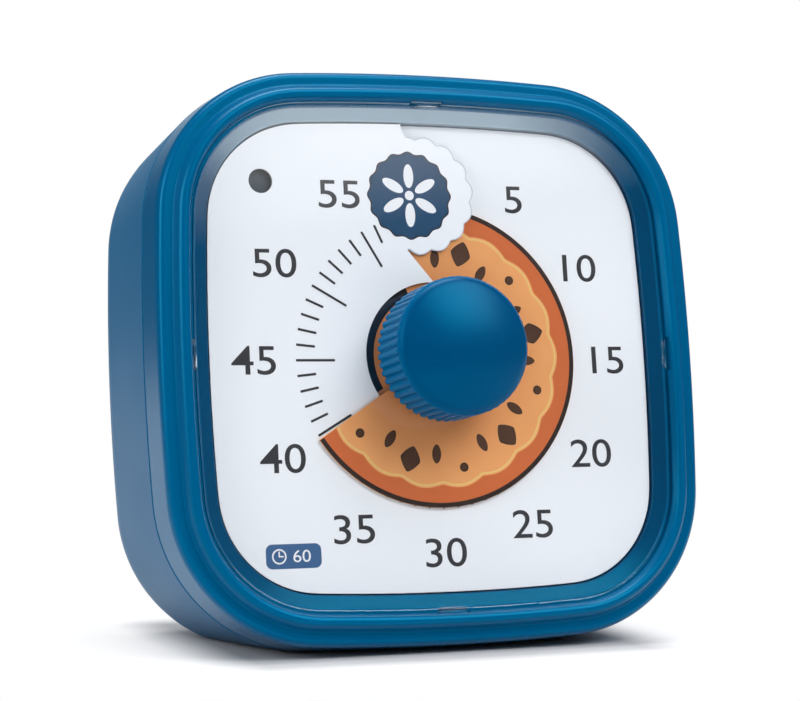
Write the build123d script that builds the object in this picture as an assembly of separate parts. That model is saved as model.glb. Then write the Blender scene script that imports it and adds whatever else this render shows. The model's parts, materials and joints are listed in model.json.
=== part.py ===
from build123d import *
import math
import os

# A visual countdown timer. A coloured disc comes out through a slit in the dial as the knob is turned
# clockwise, and a small geared motor takes it back under the dial as the time runs out.
#
# Bench frame used below, with the timer lying on its back (mm): X to the right, Y towards 12 o'clock,
# Z towards the reader, z = 0 close behind the dial's face, and the knob's axis on x = y = 0.
# At the end every piece is stood up on its sole, leaning back by LEAN_BACK.
# Final frame: +Z up, the dial faces -Y, origin on the table under the middle of the timer.

# ---- Case outline ----
CASE_WIDTH = 90.0            # across the sides at the parting line
CORNER_RADIUS = 24.0         # plan corners of that outline
SIDE_BOW = 400.0             # radius of each gently bowed side
PARTING_Z = -6.1             # rear edge of the front case
SHELL_GAP = 0.3              # shadow gap between the two shells
REAR_Z = -42.0               # outer face of the back
REAR_DRAFT = 2.0             # degrees by which the rear shell tapers
REAR_ROUND = 13.0            # rounding round the back
WALL = 2.0                   # side wall of the rear shell
REAR_WALL = 1.6              # wall of the back
TONGUE = 1.1                 # thickness of the locating tongue
TONGUE_RISE = 1.5            # how far it stands into the front case
LEAN_BACK = 8.0              # degrees
SOLE_CUT = 0.4               # how deep the sole cuts into the outline at the parting line

# ---- Bezel section: insets from the case's outline, and heights ----
SKIRT_INSET = 0.4            # the skirt leans in by this much at its top
SKIRT_TOP = 0.5
SHOULDER_INSET = 1.2
GROOVE_INSET = 2.65
GROOVE_Z = 1.4
BEAD_INSET = 3.25
BEAD_SIDE_Z = 2.75
CREST_INSET = 4.2
CREST_Z = 3.2
POCKET_INSET = 5.35          # edge of the seat that holds the lens
LEDGE = 0.75                 # width of the ledge that the lens lies on
DIAL_INSET = 8.15            # inner edge of the sloping frame round the dial
DIAL_FRAME_Z = 0.15
SKIRT_WALL = 1.9
DIAL_WALL = 1.75             # wall between the dial well and the hollow rim
RIM_ROOF_Z = -0.7            # underside of the hollow rim

# ---- Lens, dial card and disc ----
LENS_THICK = 0.8
LENS_TOP = 1.95
LENS_CLEAR = 0.35
LENS_HOLE = 4.0
TAB_WIDTH = 4.8
TAB_REACH = 0.9
TAB_THICK = 0.4
TAB_CLEAR = 0.3
FLOOR_TOP = -1.3
FLOOR_THICK = 2.0
SHEET = 0.25                 # thickness of the card and of the disc
PITCH = 1.0                  # both sheets climb by this in one turn
CARD_START_Z = -0.95         # top of the card at 12 o'clock, on the low side of the slit
CARD_CLEAR = 0.3
CARD_HOLE = 11.5
SLIT_X = -4.0                # where the slit meets the top edge of the card
FLAP_X = -2.7                # middle of the rounded flap beside the slit
FLAP_Y = 24.5
FLAP_RADIUS = 9.8
DISC_RADIUS = 23.7
DISC_SHOWN = 237.0           # degrees of disc in sight, clockwise from 12 o'clock
RELIEF_IN = 10.5             # arc-shaped relief in the hidden part of the disc
RELIEF_OUT = 11.8
RELIEF_SWEEP = 100.0
RELIEF_MARGIN = 4.0          # degrees that the relief stops short of the disc's slit
RECESS_CLEAR = 1.2           # room round the disc in the floor
RECESS_DEPTH = 0.7
HUB_RADIUS = 5.0
HUB_BOTTOM = -1.1
HUB_TOP = 0.4

# ---- Knob and spindle ----
KNOB_RADIUS = 10.7
KNOB_BOTTOM = 2.75
KNOB_RIB_END = 10.9
KNOB_TOP = 14.1
KNOB_DOME = 26.0             # radius of the domed cap
KNOB_EDGE = 1.1              # rounding between cap and side
KNOB_WALL = 1.5
KNOB_RIBS = 50
RIB_GROOVE = 0.32            # radius of each groove between the ribs
BOSS_RADIUS = 3.6
SPINDLE_RADIUS = 2.0
SPINDLE_THIN = 1.5           # where it passes the wheels
SPINDLE_TOP = 11.0
FLAT = 1.5                   # flat of the spindle, from its axis
RUNNING = 0.06               # radial clearance of running fits
SLIDING = 0.05
SEATED = 0.02
THROUGH = 5.0                # reach of cuts that go right through the sheets

# ---- Movement ----
MOVE_CORNER = 4.0
MOVE_FRONT = -3.9
MOVE_REAR = -16.5
MOVE_SPLIT = -11.0
MOVE_PLATE = 1.2
MOVE_WALL = 1.0
TRAIN_CLEAR = 1.0            # between the housing's walls and what lies nearest inside
EAR_RADIUS = 2.6
MODULE = 0.3
PRESSURE_ANGLE = 20.0
PINION_TEETH = 10
WHEEL_ADDENDUM = 0.6         # tooth heights, in modules
WHEEL_DEDENDUM = 1.25
PINION_ADDENDUM = 1.0
PINION_DEDENDUM = 0.85
WHEEL_TEETH = {"centre": 80, "third": 75, "fourth": 60, "fifth": 50}
WHEEL_BEARING = {"third": 90.0, "fourth": 200.0, "fifth": 250.0, "rotor": 290.0}
BACKLASH = 0.06              # taken off each tooth
LAYER_TOP = -6.2             # front face of the centre wheel
LAYER_STEP = 2.0
GEAR_THICK = 1.0
ARBOR_RADIUS = 0.8
PIVOT_RADIUS = 0.5
PIVOT_LENGTH = 0.9
END_PLAY = 0.15
MAGNET_RADIUS = 3.2
MAGNET_LENGTH = 2.0
AIR_GAP = 0.4
STATOR_THICK = 0.9
STATOR_RING = 1.6
LEG_WIDTH = 1.6              # of the stator's legs beyond the bobbin, and half of its yoke
COIL_Y = -18.0
COIL_LEFT = -18.0
COIL_RIGHT = -5.0
COIL_RADIUS = 3.2
COIL_CORE = 3.0
FLANGE = 0.8
FLANGE_RISE = 0.2            # of the bobbin's flanges over the winding

# ---- Screws and feet ----
CASE_SCREW_INSET = 13.5      # from the case's outline, both ways
SCREW_RADIUS = 1.2
SCREW_HEAD = 2.4
SCREW_HEAD_THICK = 1.6
POST_RADIUS = 3.0
POST_END = -9.0              # where front and rear posts meet
WELL_RADIUS = 2.6
WELL_END = -13.0
SMALL_SCREW = 0.8
SMALL_HEAD = 1.7
SMALL_HEAD_THICK = 1.1
FOOT_RADIUS = 4.0
FOOT_PROUD = 0.4
FOOT_SOCKET = 1.0
FOOT_X = 20.0
FOOT_FRONT_Z = -11.0
FOOT_REAR_Z = -30.0

# ---- Battery bay ----
CELL_RADIUS = 7.25
CELL_LENGTH = 50.5
CELL_Y = -17.0
CELL_GAP_REAR = 0.95         # between the cell and the door
BAY_HALF_LENGTH = 28.0
BAY_SIDE_CLEAR = 1.05
BAY_WALL = 1.2
BAY_RISE = 14.0
DOOR_OVERLAP = 0.5           # of the door on the walls of the bay
DOOR_CLEAR = 0.25
HINGE_DROP = 0.2             # from the door's edge to the hinge axis
HOOK_X = 18.0
HOOK_WIDTH = 5.0
HOOK_RISE = 0.5
HOOK_THICK = 1.0
HOOK_REACH = 2.0
NECK = 1.3

# ---- Electronics ----
BOARD_X = 12.0
BOARD_Y = 12.0
BOARD_LENGTH = 42.0
BOARD_WIDTH = 26.0
BOARD_THICK = 1.6
BOARD_Z = -34.0              # rear face of the board
STANDOFF_INSET = 3.0
STANDOFF_RADIUS = 2.2
SLIDER_X = 12.0
SLIDER_Y = 8.0
SLIDER_TRAVEL = 2.0          # either way from the middle
SLIDER_LENGTH = 5.0
SLIDER_WIDTH = 3.0
SLIDER_PROUD = 0.6
SLIDER_FLANGE = 0.8
STEM_LENGTH = 3.0            # of the slider's stem, which reaches into the switch
STEM_WIDTH = 1.2
SWITCH_HEIGHT = 3.5
BUZZER_X = -20.0
BUZZER_Y = 11.0
BUZZER_RADIUS = 8.5
BUZZER_HEIGHT = 4.0
BUZZER_WALL = 0.8
GRILLE_HOLE = 0.8
LAMP_INSET_X = 17.6          # lamp's axis, in from the left side of the case
LAMP_INSET_Y = 18.1          # and down from its top
LAMP_HOLE = 1.9
LAMP_RADIUS = 1.5
LAMP_TUBE = 2.7
LAMP_TUBE_END = -8.0
WIRE_END = 0.3               # the solder joint keeps a wire's end this far off the board

# ---- Worked out from the sizes above ----
half = CASE_WIDTH / 2
floor_bottom = FLOOR_TOP - FLOOR_THICK
recess_top = FLOOR_TOP - RECESS_DEPTH
lens_bottom = LENS_TOP - LENS_THICK
disc_hidden = 360.0 - DISC_SHOWN
disc_start_z = CARD_START_Z + PITCH / 2
rear_inner = REAR_Z + REAR_WALL
rear_front = PARTING_Z - SHELL_GAP
screw_place = half - CASE_SCREW_INSET
lamp_x = LAMP_INSET_X - half
lamp_y = half - LAMP_INSET_Y
cell_z = REAR_Z + REAR_WALL + CELL_GAP_REAR + CELL_RADIUS
bay_half_width = CELL_RADIUS + BAY_SIDE_CLEAR
sole_y = -half + SOLE_CUT
plate_back = MOVE_FRONT - MOVE_PLATE
base_front = MOVE_REAR + MOVE_PLATE
board_front = BOARD_Z + BOARD_THICK
board_edge = BOARD_Y - BOARD_WIDTH / 2

BOTTOM_UP = (Align.CENTER, Align.CENTER, Align.MIN)
TOP_DOWN = (Align.CENTER, Align.CENTER, Align.MAX)


# ---- Helpers ----
def rod(radius, z0, z1, x=0.0, y=0.0):
    """A round bar along Z between two heights."""
    return Pos(x, y, min(z0, z1)) * Cylinder(radius, abs(z1 - z0), align=BOTTOM_UP)


def block(x0, x1, y0, y1, z0, z1):
    """A box given by its limits."""
    return Pos((x0 + x1) / 2, (y0 + y1) / 2, (z0 + z1) / 2) * Box(x1 - x0, y1 - y0, z1 - z0)


def corners(x, y):
    """The four points at plus and minus x and y."""
    return [(x, y), (-x, y), (-x, -y), (x, -y)]


def soft_square(half_width):
    """Outline offset from the case's own: four bowed sides joined by tangent corner arcs."""
    corner = CORNER_RADIUS - (half - half_width)
    bow = SIDE_BOW - (half - half_width)
    shift = bow - half_width
    middle = (-shift + math.sqrt(2 * (bow - corner) ** 2 - shift ** 2)) / 2
    turn = math.degrees(math.atan2(middle, middle + shift))
    edges = [CenterArc((-shift, 0), bow, 0, turn)]
    for quarter in range(4):
        edges.append(Rot(0, 0, 90 * quarter) * CenterArc((middle, middle), corner, turn, 90 - 2 * turn))
        if quarter < 3:
            edges.append(Rot(0, 0, 90 * (quarter + 1)) * CenterArc((-shift, 0), bow, -turn, 2 * turn))
    edges.append(CenterArc((-shift, 0), bow, -turn, turn))
    return Wire([edge.edge() for edge in edges])


def slab(half_width, z0, z1):
    """A plate with the soft-square outline."""
    return Pos(0, 0, z0) * extrude(make_face(soft_square(half_width)), amount=z1 - z0)


def soft_ring(outer, inner, z0, z1):
    """A frame between two soft-square outlines."""
    return slab(outer, z0, z1) - slab(inner, z0 - 1, z1 + 1)


def shell_body(half_width, z0, z1, rounding):
    """The drafted rear body, rounded round its back."""
    body = Pos(0, 0, z0) * extrude(make_face(soft_square(half_width)), amount=z1 - z0, taper=REAR_DRAFT)
    back = body.faces().sort_by(Axis.Z)[0]
    return fillet(back.edges(), rounding)


def sole_plane(depth=0.0):
    """Plane of the sole, or one parallel to it and deeper inside, seen with its normal upwards."""
    lean = math.radians(LEAN_BACK)
    up = Vector(0, math.cos(lean), math.sin(lean))
    return Plane(origin=Vector(0, sole_y, PARTING_Z) + up * depth, x_dir=(1, 0, 0), z_dir=up)


def below_sole(depth=0.0):
    """Everything under the sole plane."""
    return sole_plane(depth) * Box(3 * CASE_WIDTH, 3 * CASE_WIDTH, CASE_WIDTH, align=TOP_DOWN)


def sole_rod(radius, x, z, low, high):
    """A short bar square to the sole, low and high measured up from the sole plane."""
    plane = sole_plane()
    along = (PARTING_Z - z) / math.cos(math.radians(LEAN_BACK))
    return plane * Pos(x, along, low) * Cylinder(radius, high - low, align=BOTTOM_UP)


def winding_sheet(start, end, inner, outer, start_z):
    """A sheet that climbs clockwise by PITCH a turn. Its top is at start_z at 12 o'clock."""
    turns = (end - start) / 360
    rails = []
    for radius in (inner, outer):
        rails.append(Edge.make_helix(PITCH, turns * PITCH, radius, lefthand=True))
    surface = Face.make_surface_from_curves(rails[0], rails[1])
    sheet = extrude(surface, amount=SHEET, dir=(0, 0, -1))
    return Pos(0, 0, start_z + start / 360 * PITCH) * Rot(0, 0, 90 - start) * sheet


def d_bore(clearance, z0, z1):
    """The spindle's section with its flat, grown by a clearance."""
    bar = rod(SPINDLE_RADIUS + clearance, z0, z1)
    reach = SPINDLE_RADIUS + clearance + 1
    return bar - block(FLAT + clearance, reach, -reach, reach, z0 - 1, z1 + 1)


def screw(radius, head, head_thick, seat_z, tip_z, x, y):
    """Pan-head screw driven forwards (+Z): head behind seat_z, shank up to tip_z, cross recess."""
    body = rod(radius, seat_z, tip_z, x, y) + rod(head, seat_z - head_thick, seat_z, x, y)
    slot = 0.35 * head
    depth = 0.55 * head_thick
    low = seat_z - head_thick
    cross = block(x - 0.7 * head, x + 0.7 * head, y - slot / 2, y + slot / 2, low - 1, low + depth)
    cross += block(x - slot / 2, x + slot / 2, y - 0.7 * head, y + 0.7 * head, low - 1, low + depth)
    return body - cross


# ---- Front case, lens, card, disc ----
def bezel_section():
    """Section of the bezel ring through the middle of the right-hand side."""
    lens_seat = half - POCKET_INSET
    skirt_inner = half - SKIRT_WALL
    well = half - DIAL_INSET
    rim_inner = well + DIAL_WALL
    side = Polyline([(half, 0, PARTING_Z), (half - SKIRT_INSET, 0, SKIRT_TOP)])
    shoulder = ThreePointArc(
        (half - SKIRT_INSET, 0, SKIRT_TOP),
        (half - (SKIRT_INSET + SHOULDER_INSET) / 2 + 0.12, 0, (SKIRT_TOP + GROOVE_Z) / 2 + 0.18),
        (half - SHOULDER_INSET, 0, GROOVE_Z),
    )
    groove = Polyline([
        (half - SHOULDER_INSET, 0, GROOVE_Z),
        (half - GROOVE_INSET, 0, GROOVE_Z),
        (half - BEAD_INSET, 0, BEAD_SIDE_Z),
    ])
    bead = Spline(
        (half - BEAD_INSET, 0, BEAD_SIDE_Z), (half - CREST_INSET, 0, CREST_Z), (lens_seat, 0, LENS_TOP),
        tangents=((-0.5, 0, 0.9), (-0.5, 0, -1.0)),
    )
    inside = Polyline([
        (lens_seat, 0, LENS_TOP),
        (lens_seat, 0, lens_bottom),
        (lens_seat - LEDGE, 0, lens_bottom),
        (well, 0, DIAL_FRAME_Z),
        (well, 0, floor_bottom),
        (rim_inner, 0, floor_bottom),
        (rim_inner, 0, RIM_ROOF_Z),
        (skirt_inner, 0, RIM_ROOF_Z),
        (skirt_inner, 0, PARTING_Z),
        (half, 0, PARTING_Z),
    ])
    return make_face(Wire(side.edges() + shoulder.edges() + groove.edges() + bead.edges() + inside.edges()))


def tab_block(width, reach, z0, z1):
    """One block on each side of the lens, reaching out from its edge."""
    edge = half - POCKET_INSET - LENS_CLEAR
    blocks = Part()
    for quarter in range(4):
        blocks += Rot(0, 0, 90 * quarter) * block(edge - 1, edge + reach, -width / 2, width / 2, z0, z1)
    return blocks


def ear_places():
    """Screw ears of the movement, outside its walls."""
    left, right, bottom, top = movement_limits()
    x0 = left - EAR_RADIUS
    x1 = right + EAR_RADIUS
    return [(x0, 10.0), (x0, -16.0), (x1, 21.5), (x1, -20.5)]


def front_case():
    """Bezel ring, floor behind the dial, screw posts, lamp tube and pads for the movement."""
    case = sweep(bezel_section(), path=soft_square(half))
    case += slab(half - DIAL_INSET + DIAL_WALL / 2, floor_bottom, FLOOR_TOP)
    for x, y in corners(screw_place, screw_place):
        case += rod(POST_RADIUS, floor_bottom, POST_END, x, y)
    for x, y in ear_places():
        case += rod(EAR_RADIUS, MOVE_FRONT, floor_bottom, x, y)
    case += rod(LAMP_TUBE, LAMP_TUBE_END, floor_bottom, lamp_x, lamp_y)
    for angle in (45, 135, 225, 315):
        top = CARD_START_Z - SHEET + angle / 360 * PITCH - 0.08
        turn = math.radians(90 - angle)
        place = DISC_RADIUS + 8.5
        case += rod(1.5, FLOOR_TOP, top, place * math.cos(turn), place * math.sin(turn))
    cuts = rod(DISC_RADIUS + RECESS_CLEAR, recess_top, FLOOR_TOP + 1)
    cuts += rod(SPINDLE_RADIUS + RUNNING, floor_bottom - 1, FLOOR_TOP)
    cuts += rod(LAMP_HOLE, FLOOR_TOP - FLOOR_THICK * 0.65, FLOOR_TOP + 1, lamp_x, lamp_y)
    cuts += rod(LAMP_RADIUS + 0.1, LAMP_TUBE_END - 1, FLOOR_TOP, lamp_x, lamp_y)
    for x, y in corners(screw_place, screw_place):
        cuts += rod(SCREW_RADIUS + SEATED, POST_END - 1, floor_bottom - 0.4, x, y)
    for x, y in ear_places():
        cuts += rod(SMALL_SCREW + SEATED, MOVE_FRONT - 1, FLOOR_TOP - 0.4, x, y)
    cuts += tab_block(TAB_WIDTH + 2 * TAB_CLEAR, TAB_REACH + TAB_CLEAR, lens_bottom, LENS_TOP + 0.25)
    return case - cuts - below_sole()


def dial_lens():
    """Flat clear window with a snap tab on each side and a hole for the spindle."""
    lens = slab(half - POCKET_INSET - LENS_CLEAR, lens_bottom, LENS_TOP)
    lens += tab_block(TAB_WIDTH, TAB_REACH, lens_bottom, lens_bottom + TAB_THICK)
    return lens - rod(LENS_HOLE, lens_bottom - 1, LENS_TOP + 1)


def card_outline():
    """Half-width of the card."""
    return half - DIAL_INSET - CARD_CLEAR


def right_of_slit():
    """Prism over the part of the card on the low side of the slit."""
    far = CASE_WIDTH
    column = block(SLIT_X, far, 0, far, -THROUGH, THROUGH) + block(0, far, -far, 0, -THROUGH, THROUGH)
    flap = rod(FLAP_RADIUS, -THROUGH, THROUGH, FLAP_X, FLAP_Y)
    return column - flap - block(-far, 0, -far, FLAP_Y, -THROUGH, THROUGH)


def dial_card():
    """Wound dial sheet. Its flap and left side lie one pitch above its right side at 12 o'clock."""
    reach = CASE_WIDTH
    outline = slab(card_outline(), -THROUGH, THROUGH)
    outline -= rod(CARD_HOLE, -THROUGH - 1, THROUGH + 1)
    outline -= rod(LAMP_HOLE, -THROUGH - 1, THROUGH + 1, lamp_x, lamp_y)
    right = right_of_slit()
    low = winding_sheet(-45, 180, 2.0, reach, CARD_START_Z) & (outline & right)
    high = winding_sheet(180, 405, 2.0, reach, CARD_START_Z) & (outline - right)
    return low + high


def timer_disc():
    """Wound disc, slit from hub to rim, with an arc-shaped relief in its hidden part."""
    disc = winding_sheet(-disc_hidden, DISC_SHOWN, HUB_RADIUS + SEATED, DISC_RADIUS, disc_start_z)
    relief = rod(RELIEF_OUT, -THROUGH, THROUGH) - rod(RELIEF_IN, -THROUGH - 1, THROUGH + 1)
    start = 90 + disc_hidden - RELIEF_SWEEP
    end = start + RELIEF_SWEEP - RELIEF_MARGIN
    reach = 2 * RELIEF_OUT
    ends = [(reach * math.cos(math.radians(a)), reach * math.sin(math.radians(a))) for a in (start, end)]
    sector = Wire([
        Line((0, 0), ends[0]).edge(),
        CenterArc((0, 0), reach, start, end - start).edge(),
        Line(ends[1], (0, 0)).edge(),
    ])
    wedge = Pos(0, 0, -THROUGH) * extrude(make_face(sector), amount=2 * THROUGH)
    return disc - (relief & wedge)


def disc_hub():
    """Hub of the disc, sliding on the flat of the spindle."""
    return rod(HUB_RADIUS, HUB_BOTTOM, HUB_TOP) - d_bore(SLIDING, HUB_BOTTOM - 1, HUB_TOP + 1)


def led_window():
    """Smoked window in front of the lamp."""
    return rod(LAMP_HOLE - SLIDING, FLOOR_TOP - FLOOR_THICK * 0.65, FLOOR_TOP + 0.2, lamp_x, lamp_y)


# ---- Knob, spindle and what turns with them ----
def knob():
    """Hollow ribbed knob with a domed cap, and a boss that sits on the spindle."""
    body = rod(KNOB_RADIUS, KNOB_BOTTOM, KNOB_TOP) & Pos(0, 0, KNOB_TOP - KNOB_DOME) * Sphere(KNOB_DOME)
    rims = body.edges().filter_by(GeomType.CIRCLE).filter_by(lambda edge: edge.radius < KNOB_DOME / 2)
    body = fillet(rims.sort_by(Axis.Z)[-1], KNOB_EDGE)
    inner_top = KNOB_RIB_END - KNOB_WALL / 2
    hollow = rod(KNOB_RADIUS - KNOB_WALL, KNOB_BOTTOM - 1, inner_top)
    hollow -= rod(BOSS_RADIUS, KNOB_BOTTOM - 2, inner_top + 1)
    for turn in (30, 150, 270):
        hollow -= Rot(0, 0, turn) * block(0, KNOB_RADIUS, -0.5, 0.5, KNOB_BOTTOM + 1.5, inner_top + 1)
    grooves = Part()
    for rib in range(KNOB_RIBS):
        turn = Rot(0, 0, 360 * rib / KNOB_RIBS)
        grooves += turn * rod(RIB_GROOVE, KNOB_BOTTOM - 1, KNOB_RIB_END, KNOB_RADIUS + 0.08, 0)
    return body - hollow - grooves - d_bore(SEATED, KNOB_BOTTOM - 1, SPINDLE_TOP + SEATED)


def spindle():
    """Steel spindle: a flat for knob and hub, a bearing part, and a thinner rear end."""
    thin_from = LAYER_TOP - GEAR_THICK - 0.8
    bar = d_bore(0, recess_top - 0.2, SPINDLE_TOP)
    bar += rod(SPINDLE_RADIUS, thin_from, recess_top - 0.2)
    return bar + rod(SPINDLE_THIN, MOVE_REAR + 0.6, thin_from)


def clutch_spring():
    """Slotted spring washer behind the centre wheel."""
    top = LAYER_TOP - GEAR_THICK - 0.1
    washer = rod(3.6, top - 0.5, top) - rod(SPINDLE_RADIUS + SEATED, top - 1, top + 1)
    for turn in (0, 120, 240):
        washer -= Rot(0, 0, turn) * block(2.7, 4, -0.35, 0.35, top - 1, top + 1)
    return washer


def alarm_cam():
    """Notched cam that closes the alarm contact at zero."""
    low = LAYER_TOP + END_PLAY
    cam = rod(4.0, low, low + 0.7) - rod(SPINDLE_RADIUS + SEATED, low - 1, low + 1)
    return cam - Rot(0, 0, -30) * block(3.2, 5, -1.0, 1.0, low - 1, low + 1)


# ---- Movement ----
def layer(number):
    """Front and rear height of one gear layer, 0 nearest the dial."""
    top = LAYER_TOP - LAYER_STEP * number
    return top - GEAR_THICK, top


def gear_centres():
    """Centre of each wheel: every step is half the sum of the meshing pitch diameters."""
    places = {"centre": (0.0, 0.0)}
    last = "centre"
    for name, bearing in WHEEL_BEARING.items():
        reach = MODULE * (WHEEL_TEETH[last] + PINION_TEETH) / 2
        turn = math.radians(bearing)
        x, y = places[last]
        places[name] = (x + reach * math.cos(turn), y + reach * math.sin(turn))
        last = name
    return places


def movement_limits():
    """Outside left, right, bottom and top of the housing, from the wheels and the coil inside it."""
    places = gear_centres()
    spare = TRAIN_CLEAR + MOVE_WALL
    tips = {name: MODULE * (teeth / 2 + WHEEL_ADDENDUM) for name, teeth in WHEEL_TEETH.items()}
    left = min(places[name][0] - tips[name] for name in tips)
    right = max(places[name][0] + tips[name] for name in tips)
    top = max(places[name][1] + tips[name] for name in tips)
    bottom = COIL_Y - COIL_RADIUS - FLANGE_RISE
    return left - spare, right + spare, bottom - spare, top + spare


def tooth_edges(teeth, addendum, dedendum):
    """Edges of one tooth pointing along +X: root, flank, tip, flank, on involute points."""
    pitch = MODULE * teeth / 2
    base = pitch * math.cos(math.radians(PRESSURE_ANGLE))
    tip = pitch + addendum * MODULE
    root = pitch - dedendum * MODULE

    def half_angle(radius):
        reach = math.acos(min(1.0, base / max(radius, base)))
        at_pitch = math.radians(PRESSURE_ANGLE)
        width = math.pi / (2 * teeth) - BACKLASH / (2 * pitch)
        return width + (math.tan(at_pitch) - at_pitch) - (math.tan(reach) - reach)

    start = max(base, root)
    middle = (start + tip) / 2

    def point(radius, angle):
        return (radius * math.cos(angle), radius * math.sin(angle))

    lower = [point(r, -half_angle(r)) for r in (start, middle, tip)]
    upper = [point(r, half_angle(r)) for r in (tip, middle, start)]
    edges = []
    if root < base:
        edges.append(Line(point(root, -half_angle(start)), lower[0]).edge())
    edges.append(ThreePointArc(*lower).edge())
    edges.append(ThreePointArc(lower[2], point(tip, 0), upper[0]).edge())
    edges.append(ThreePointArc(*upper).edge())
    if root < base:
        edges.append(Line(upper[2], point(root, half_angle(start))).edge())
    gap = math.pi / teeth
    end = half_angle(start)
    edges.append(ThreePointArc(point(root, end), point(root, gap), point(root, 2 * gap - end)).edge())
    return edges


def gear(teeth, is_pinion, phase, z0, z1, centre):
    """A spur gear with one tooth at the angle phase."""
    addendum = PINION_ADDENDUM if is_pinion else WHEEL_ADDENDUM
    dedendum = PINION_DEDENDUM if is_pinion else WHEEL_DEDENDUM
    single = tooth_edges(teeth, addendum, dedendum)
    edges = []
    for tooth in range(teeth):
        turn = Rot(0, 0, phase + 360 * tooth / teeth)
        edges += [turn * edge for edge in single]
    face = make_face(Wire([edge.edge() for edge in edges]))
    return Pos(centre[0], centre[1], z0) * extrude(face, amount=z1 - z0)


def wheel_gear(name, next_name, number):
    """The wheel of one arbor. One tooth points at the pinion that it meshes with."""
    z0, z1 = layer(number)
    return gear(WHEEL_TEETH[name], False, WHEEL_BEARING[next_name], z0, z1, gear_centres()[name])


def pinion_gear(name, number):
    """The pinion of one arbor. It turns a gap to the wheel before it."""
    z0, z1 = layer(number)
    phase = WHEEL_BEARING[name] + 180 + 180 / PINION_TEETH
    return gear(PINION_TEETH, True, phase, z0 - 0.1, z1 + 0.1, gear_centres()[name])


def arbor(name):
    """Arbor between the two plates with a thin pivot at each end."""
    x, y = gear_centres()[name]
    bar = rod(ARBOR_RADIUS, base_front + END_PLAY, plate_back - END_PLAY, x, y)
    return bar + rod(PIVOT_RADIUS, base_front - PIVOT_LENGTH, plate_back + PIVOT_LENGTH, x, y)


def centre_wheel():
    """Large wheel on the spindle, gripped by the clutch spring."""
    z0, z1 = layer(0)
    return wheel_gear("centre", "third", 0) - rod(SPINDLE_RADIUS + RUNNING, z0 - 1, z1 + 1)


def train_wheel(name, next_name, number):
    """One arbor of the train: wheel, pinion and pivots in one piece, lightened by round holes."""
    z0, z1 = layer(number)
    x, y = gear_centres()[name]
    body = wheel_gear(name, next_name, number)
    reach = MODULE * WHEEL_TEETH[name] / 4 + 0.4
    for turn in range(0, 360, 72):
        spoke = math.radians(turn)
        body -= rod(1.3, z0 - 1, z1 + 1, x + reach * math.cos(spoke), y + reach * math.sin(spoke))
    return body + pinion_gear(name, number - 1) + arbor(name)


def magnet_span():
    """Rear and front face of the rotor's magnet."""
    middle = stator_middle()
    return middle - MAGNET_LENGTH / 2, middle + MAGNET_LENGTH / 2


def stator_middle():
    """Height of the stator's mid-plane, in the third layer."""
    z0, z1 = layer(2)
    return (z0 + z1) / 2 + 0.3


def rotor_pinion():
    """Arbor of the rotor with its pinion."""
    return pinion_gear("rotor", 3) + arbor("rotor")


def rotor_magnet():
    """Ring magnet pressed on the rotor's arbor."""
    x, y = gear_centres()["rotor"]
    low, high = magnet_span()
    return rod(MAGNET_RADIUS, low, high, x, y) - rod(ARBOR_RADIUS + SEATED, low - 1, high + 1, x, y)


def stator():
    """Soft-iron plate: a ring round the magnet, two legs, and the core through the coil."""
    x, y = gear_centres()["rotor"]
    low = stator_middle() - STATOR_THICK / 2
    high = stator_middle() + STATOR_THICK / 2
    inner = MAGNET_RADIUS + AIR_GAP
    left = COIL_LEFT - FLANGE - LEG_WIDTH
    right = COIL_RIGHT + FLANGE + LEG_WIDTH
    core_low = COIL_Y - COIL_CORE / 2
    core_high = COIL_Y + COIL_CORE / 2
    plate = rod(inner + STATOR_RING, low, high, x, y)
    plate += block(left, right, y - LEG_WIDTH, y + LEG_WIDTH, low, high)
    plate += block(left, COIL_LEFT - SLIDING, core_low, y + LEG_WIDTH, low, high)
    plate += block(COIL_RIGHT + SLIDING, right, core_low, y + LEG_WIDTH, low, high)
    plate += block(left, right, core_low, core_high, low, high)
    return plate - rod(inner, low - 1, high + 1, x, y)


def coil_rod(radius, x0, x1):
    """A round bar along the coil's own axis."""
    bar = Cylinder(radius, x1 - x0)
    return Pos((x0 + x1) / 2, COIL_Y, stator_middle()) * Rot(0, 90, 0) * bar


def coil_bobbin():
    """Spool of the coil, open for the stator's core."""
    spool = coil_rod(COIL_RADIUS - 0.9, COIL_LEFT, COIL_RIGHT)
    spool += coil_rod(COIL_RADIUS + FLANGE_RISE, COIL_LEFT, COIL_LEFT + FLANGE)
    spool += coil_rod(COIL_RADIUS + FLANGE_RISE, COIL_RIGHT - FLANGE, COIL_RIGHT)
    tall = STATOR_THICK / 2 + SLIDING
    wide = COIL_CORE / 2 + SLIDING
    z = stator_middle()
    return spool - block(COIL_LEFT - 1, COIL_RIGHT + 1, COIL_Y - wide, COIL_Y + wide, z - tall, z + tall)


def coil_winding():
    """The copper winding as one sleeve."""
    left = COIL_LEFT + FLANGE + SLIDING
    right = COIL_RIGHT - FLANGE - SLIDING
    return coil_rod(COIL_RADIUS, left, right) - coil_rod(COIL_RADIUS - 0.9 + SEATED, left - 1, right + 1)


def movement_outline(inset, z0, z1):
    """Plate with the outline of the movement's housing."""
    left, right, bottom, top = movement_limits()
    width = right - left - 2 * inset
    height = top - bottom - 2 * inset
    face = RectangleRounded(width, height, MOVE_CORNER - inset)
    middle = Pos((left + right) / 2, (bottom + top) / 2, z0)
    return middle * extrude(face, amount=z1 - z0)


def pivot_holes(z0, z1):
    """Bearing holes for every arbor except the spindle."""
    holes = Part()
    for name, (x, y) in gear_centres().items():
        if name != "centre":
            holes += rod(PIVOT_RADIUS + SLIDING, z0, z1, x, y)
    return holes


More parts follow.
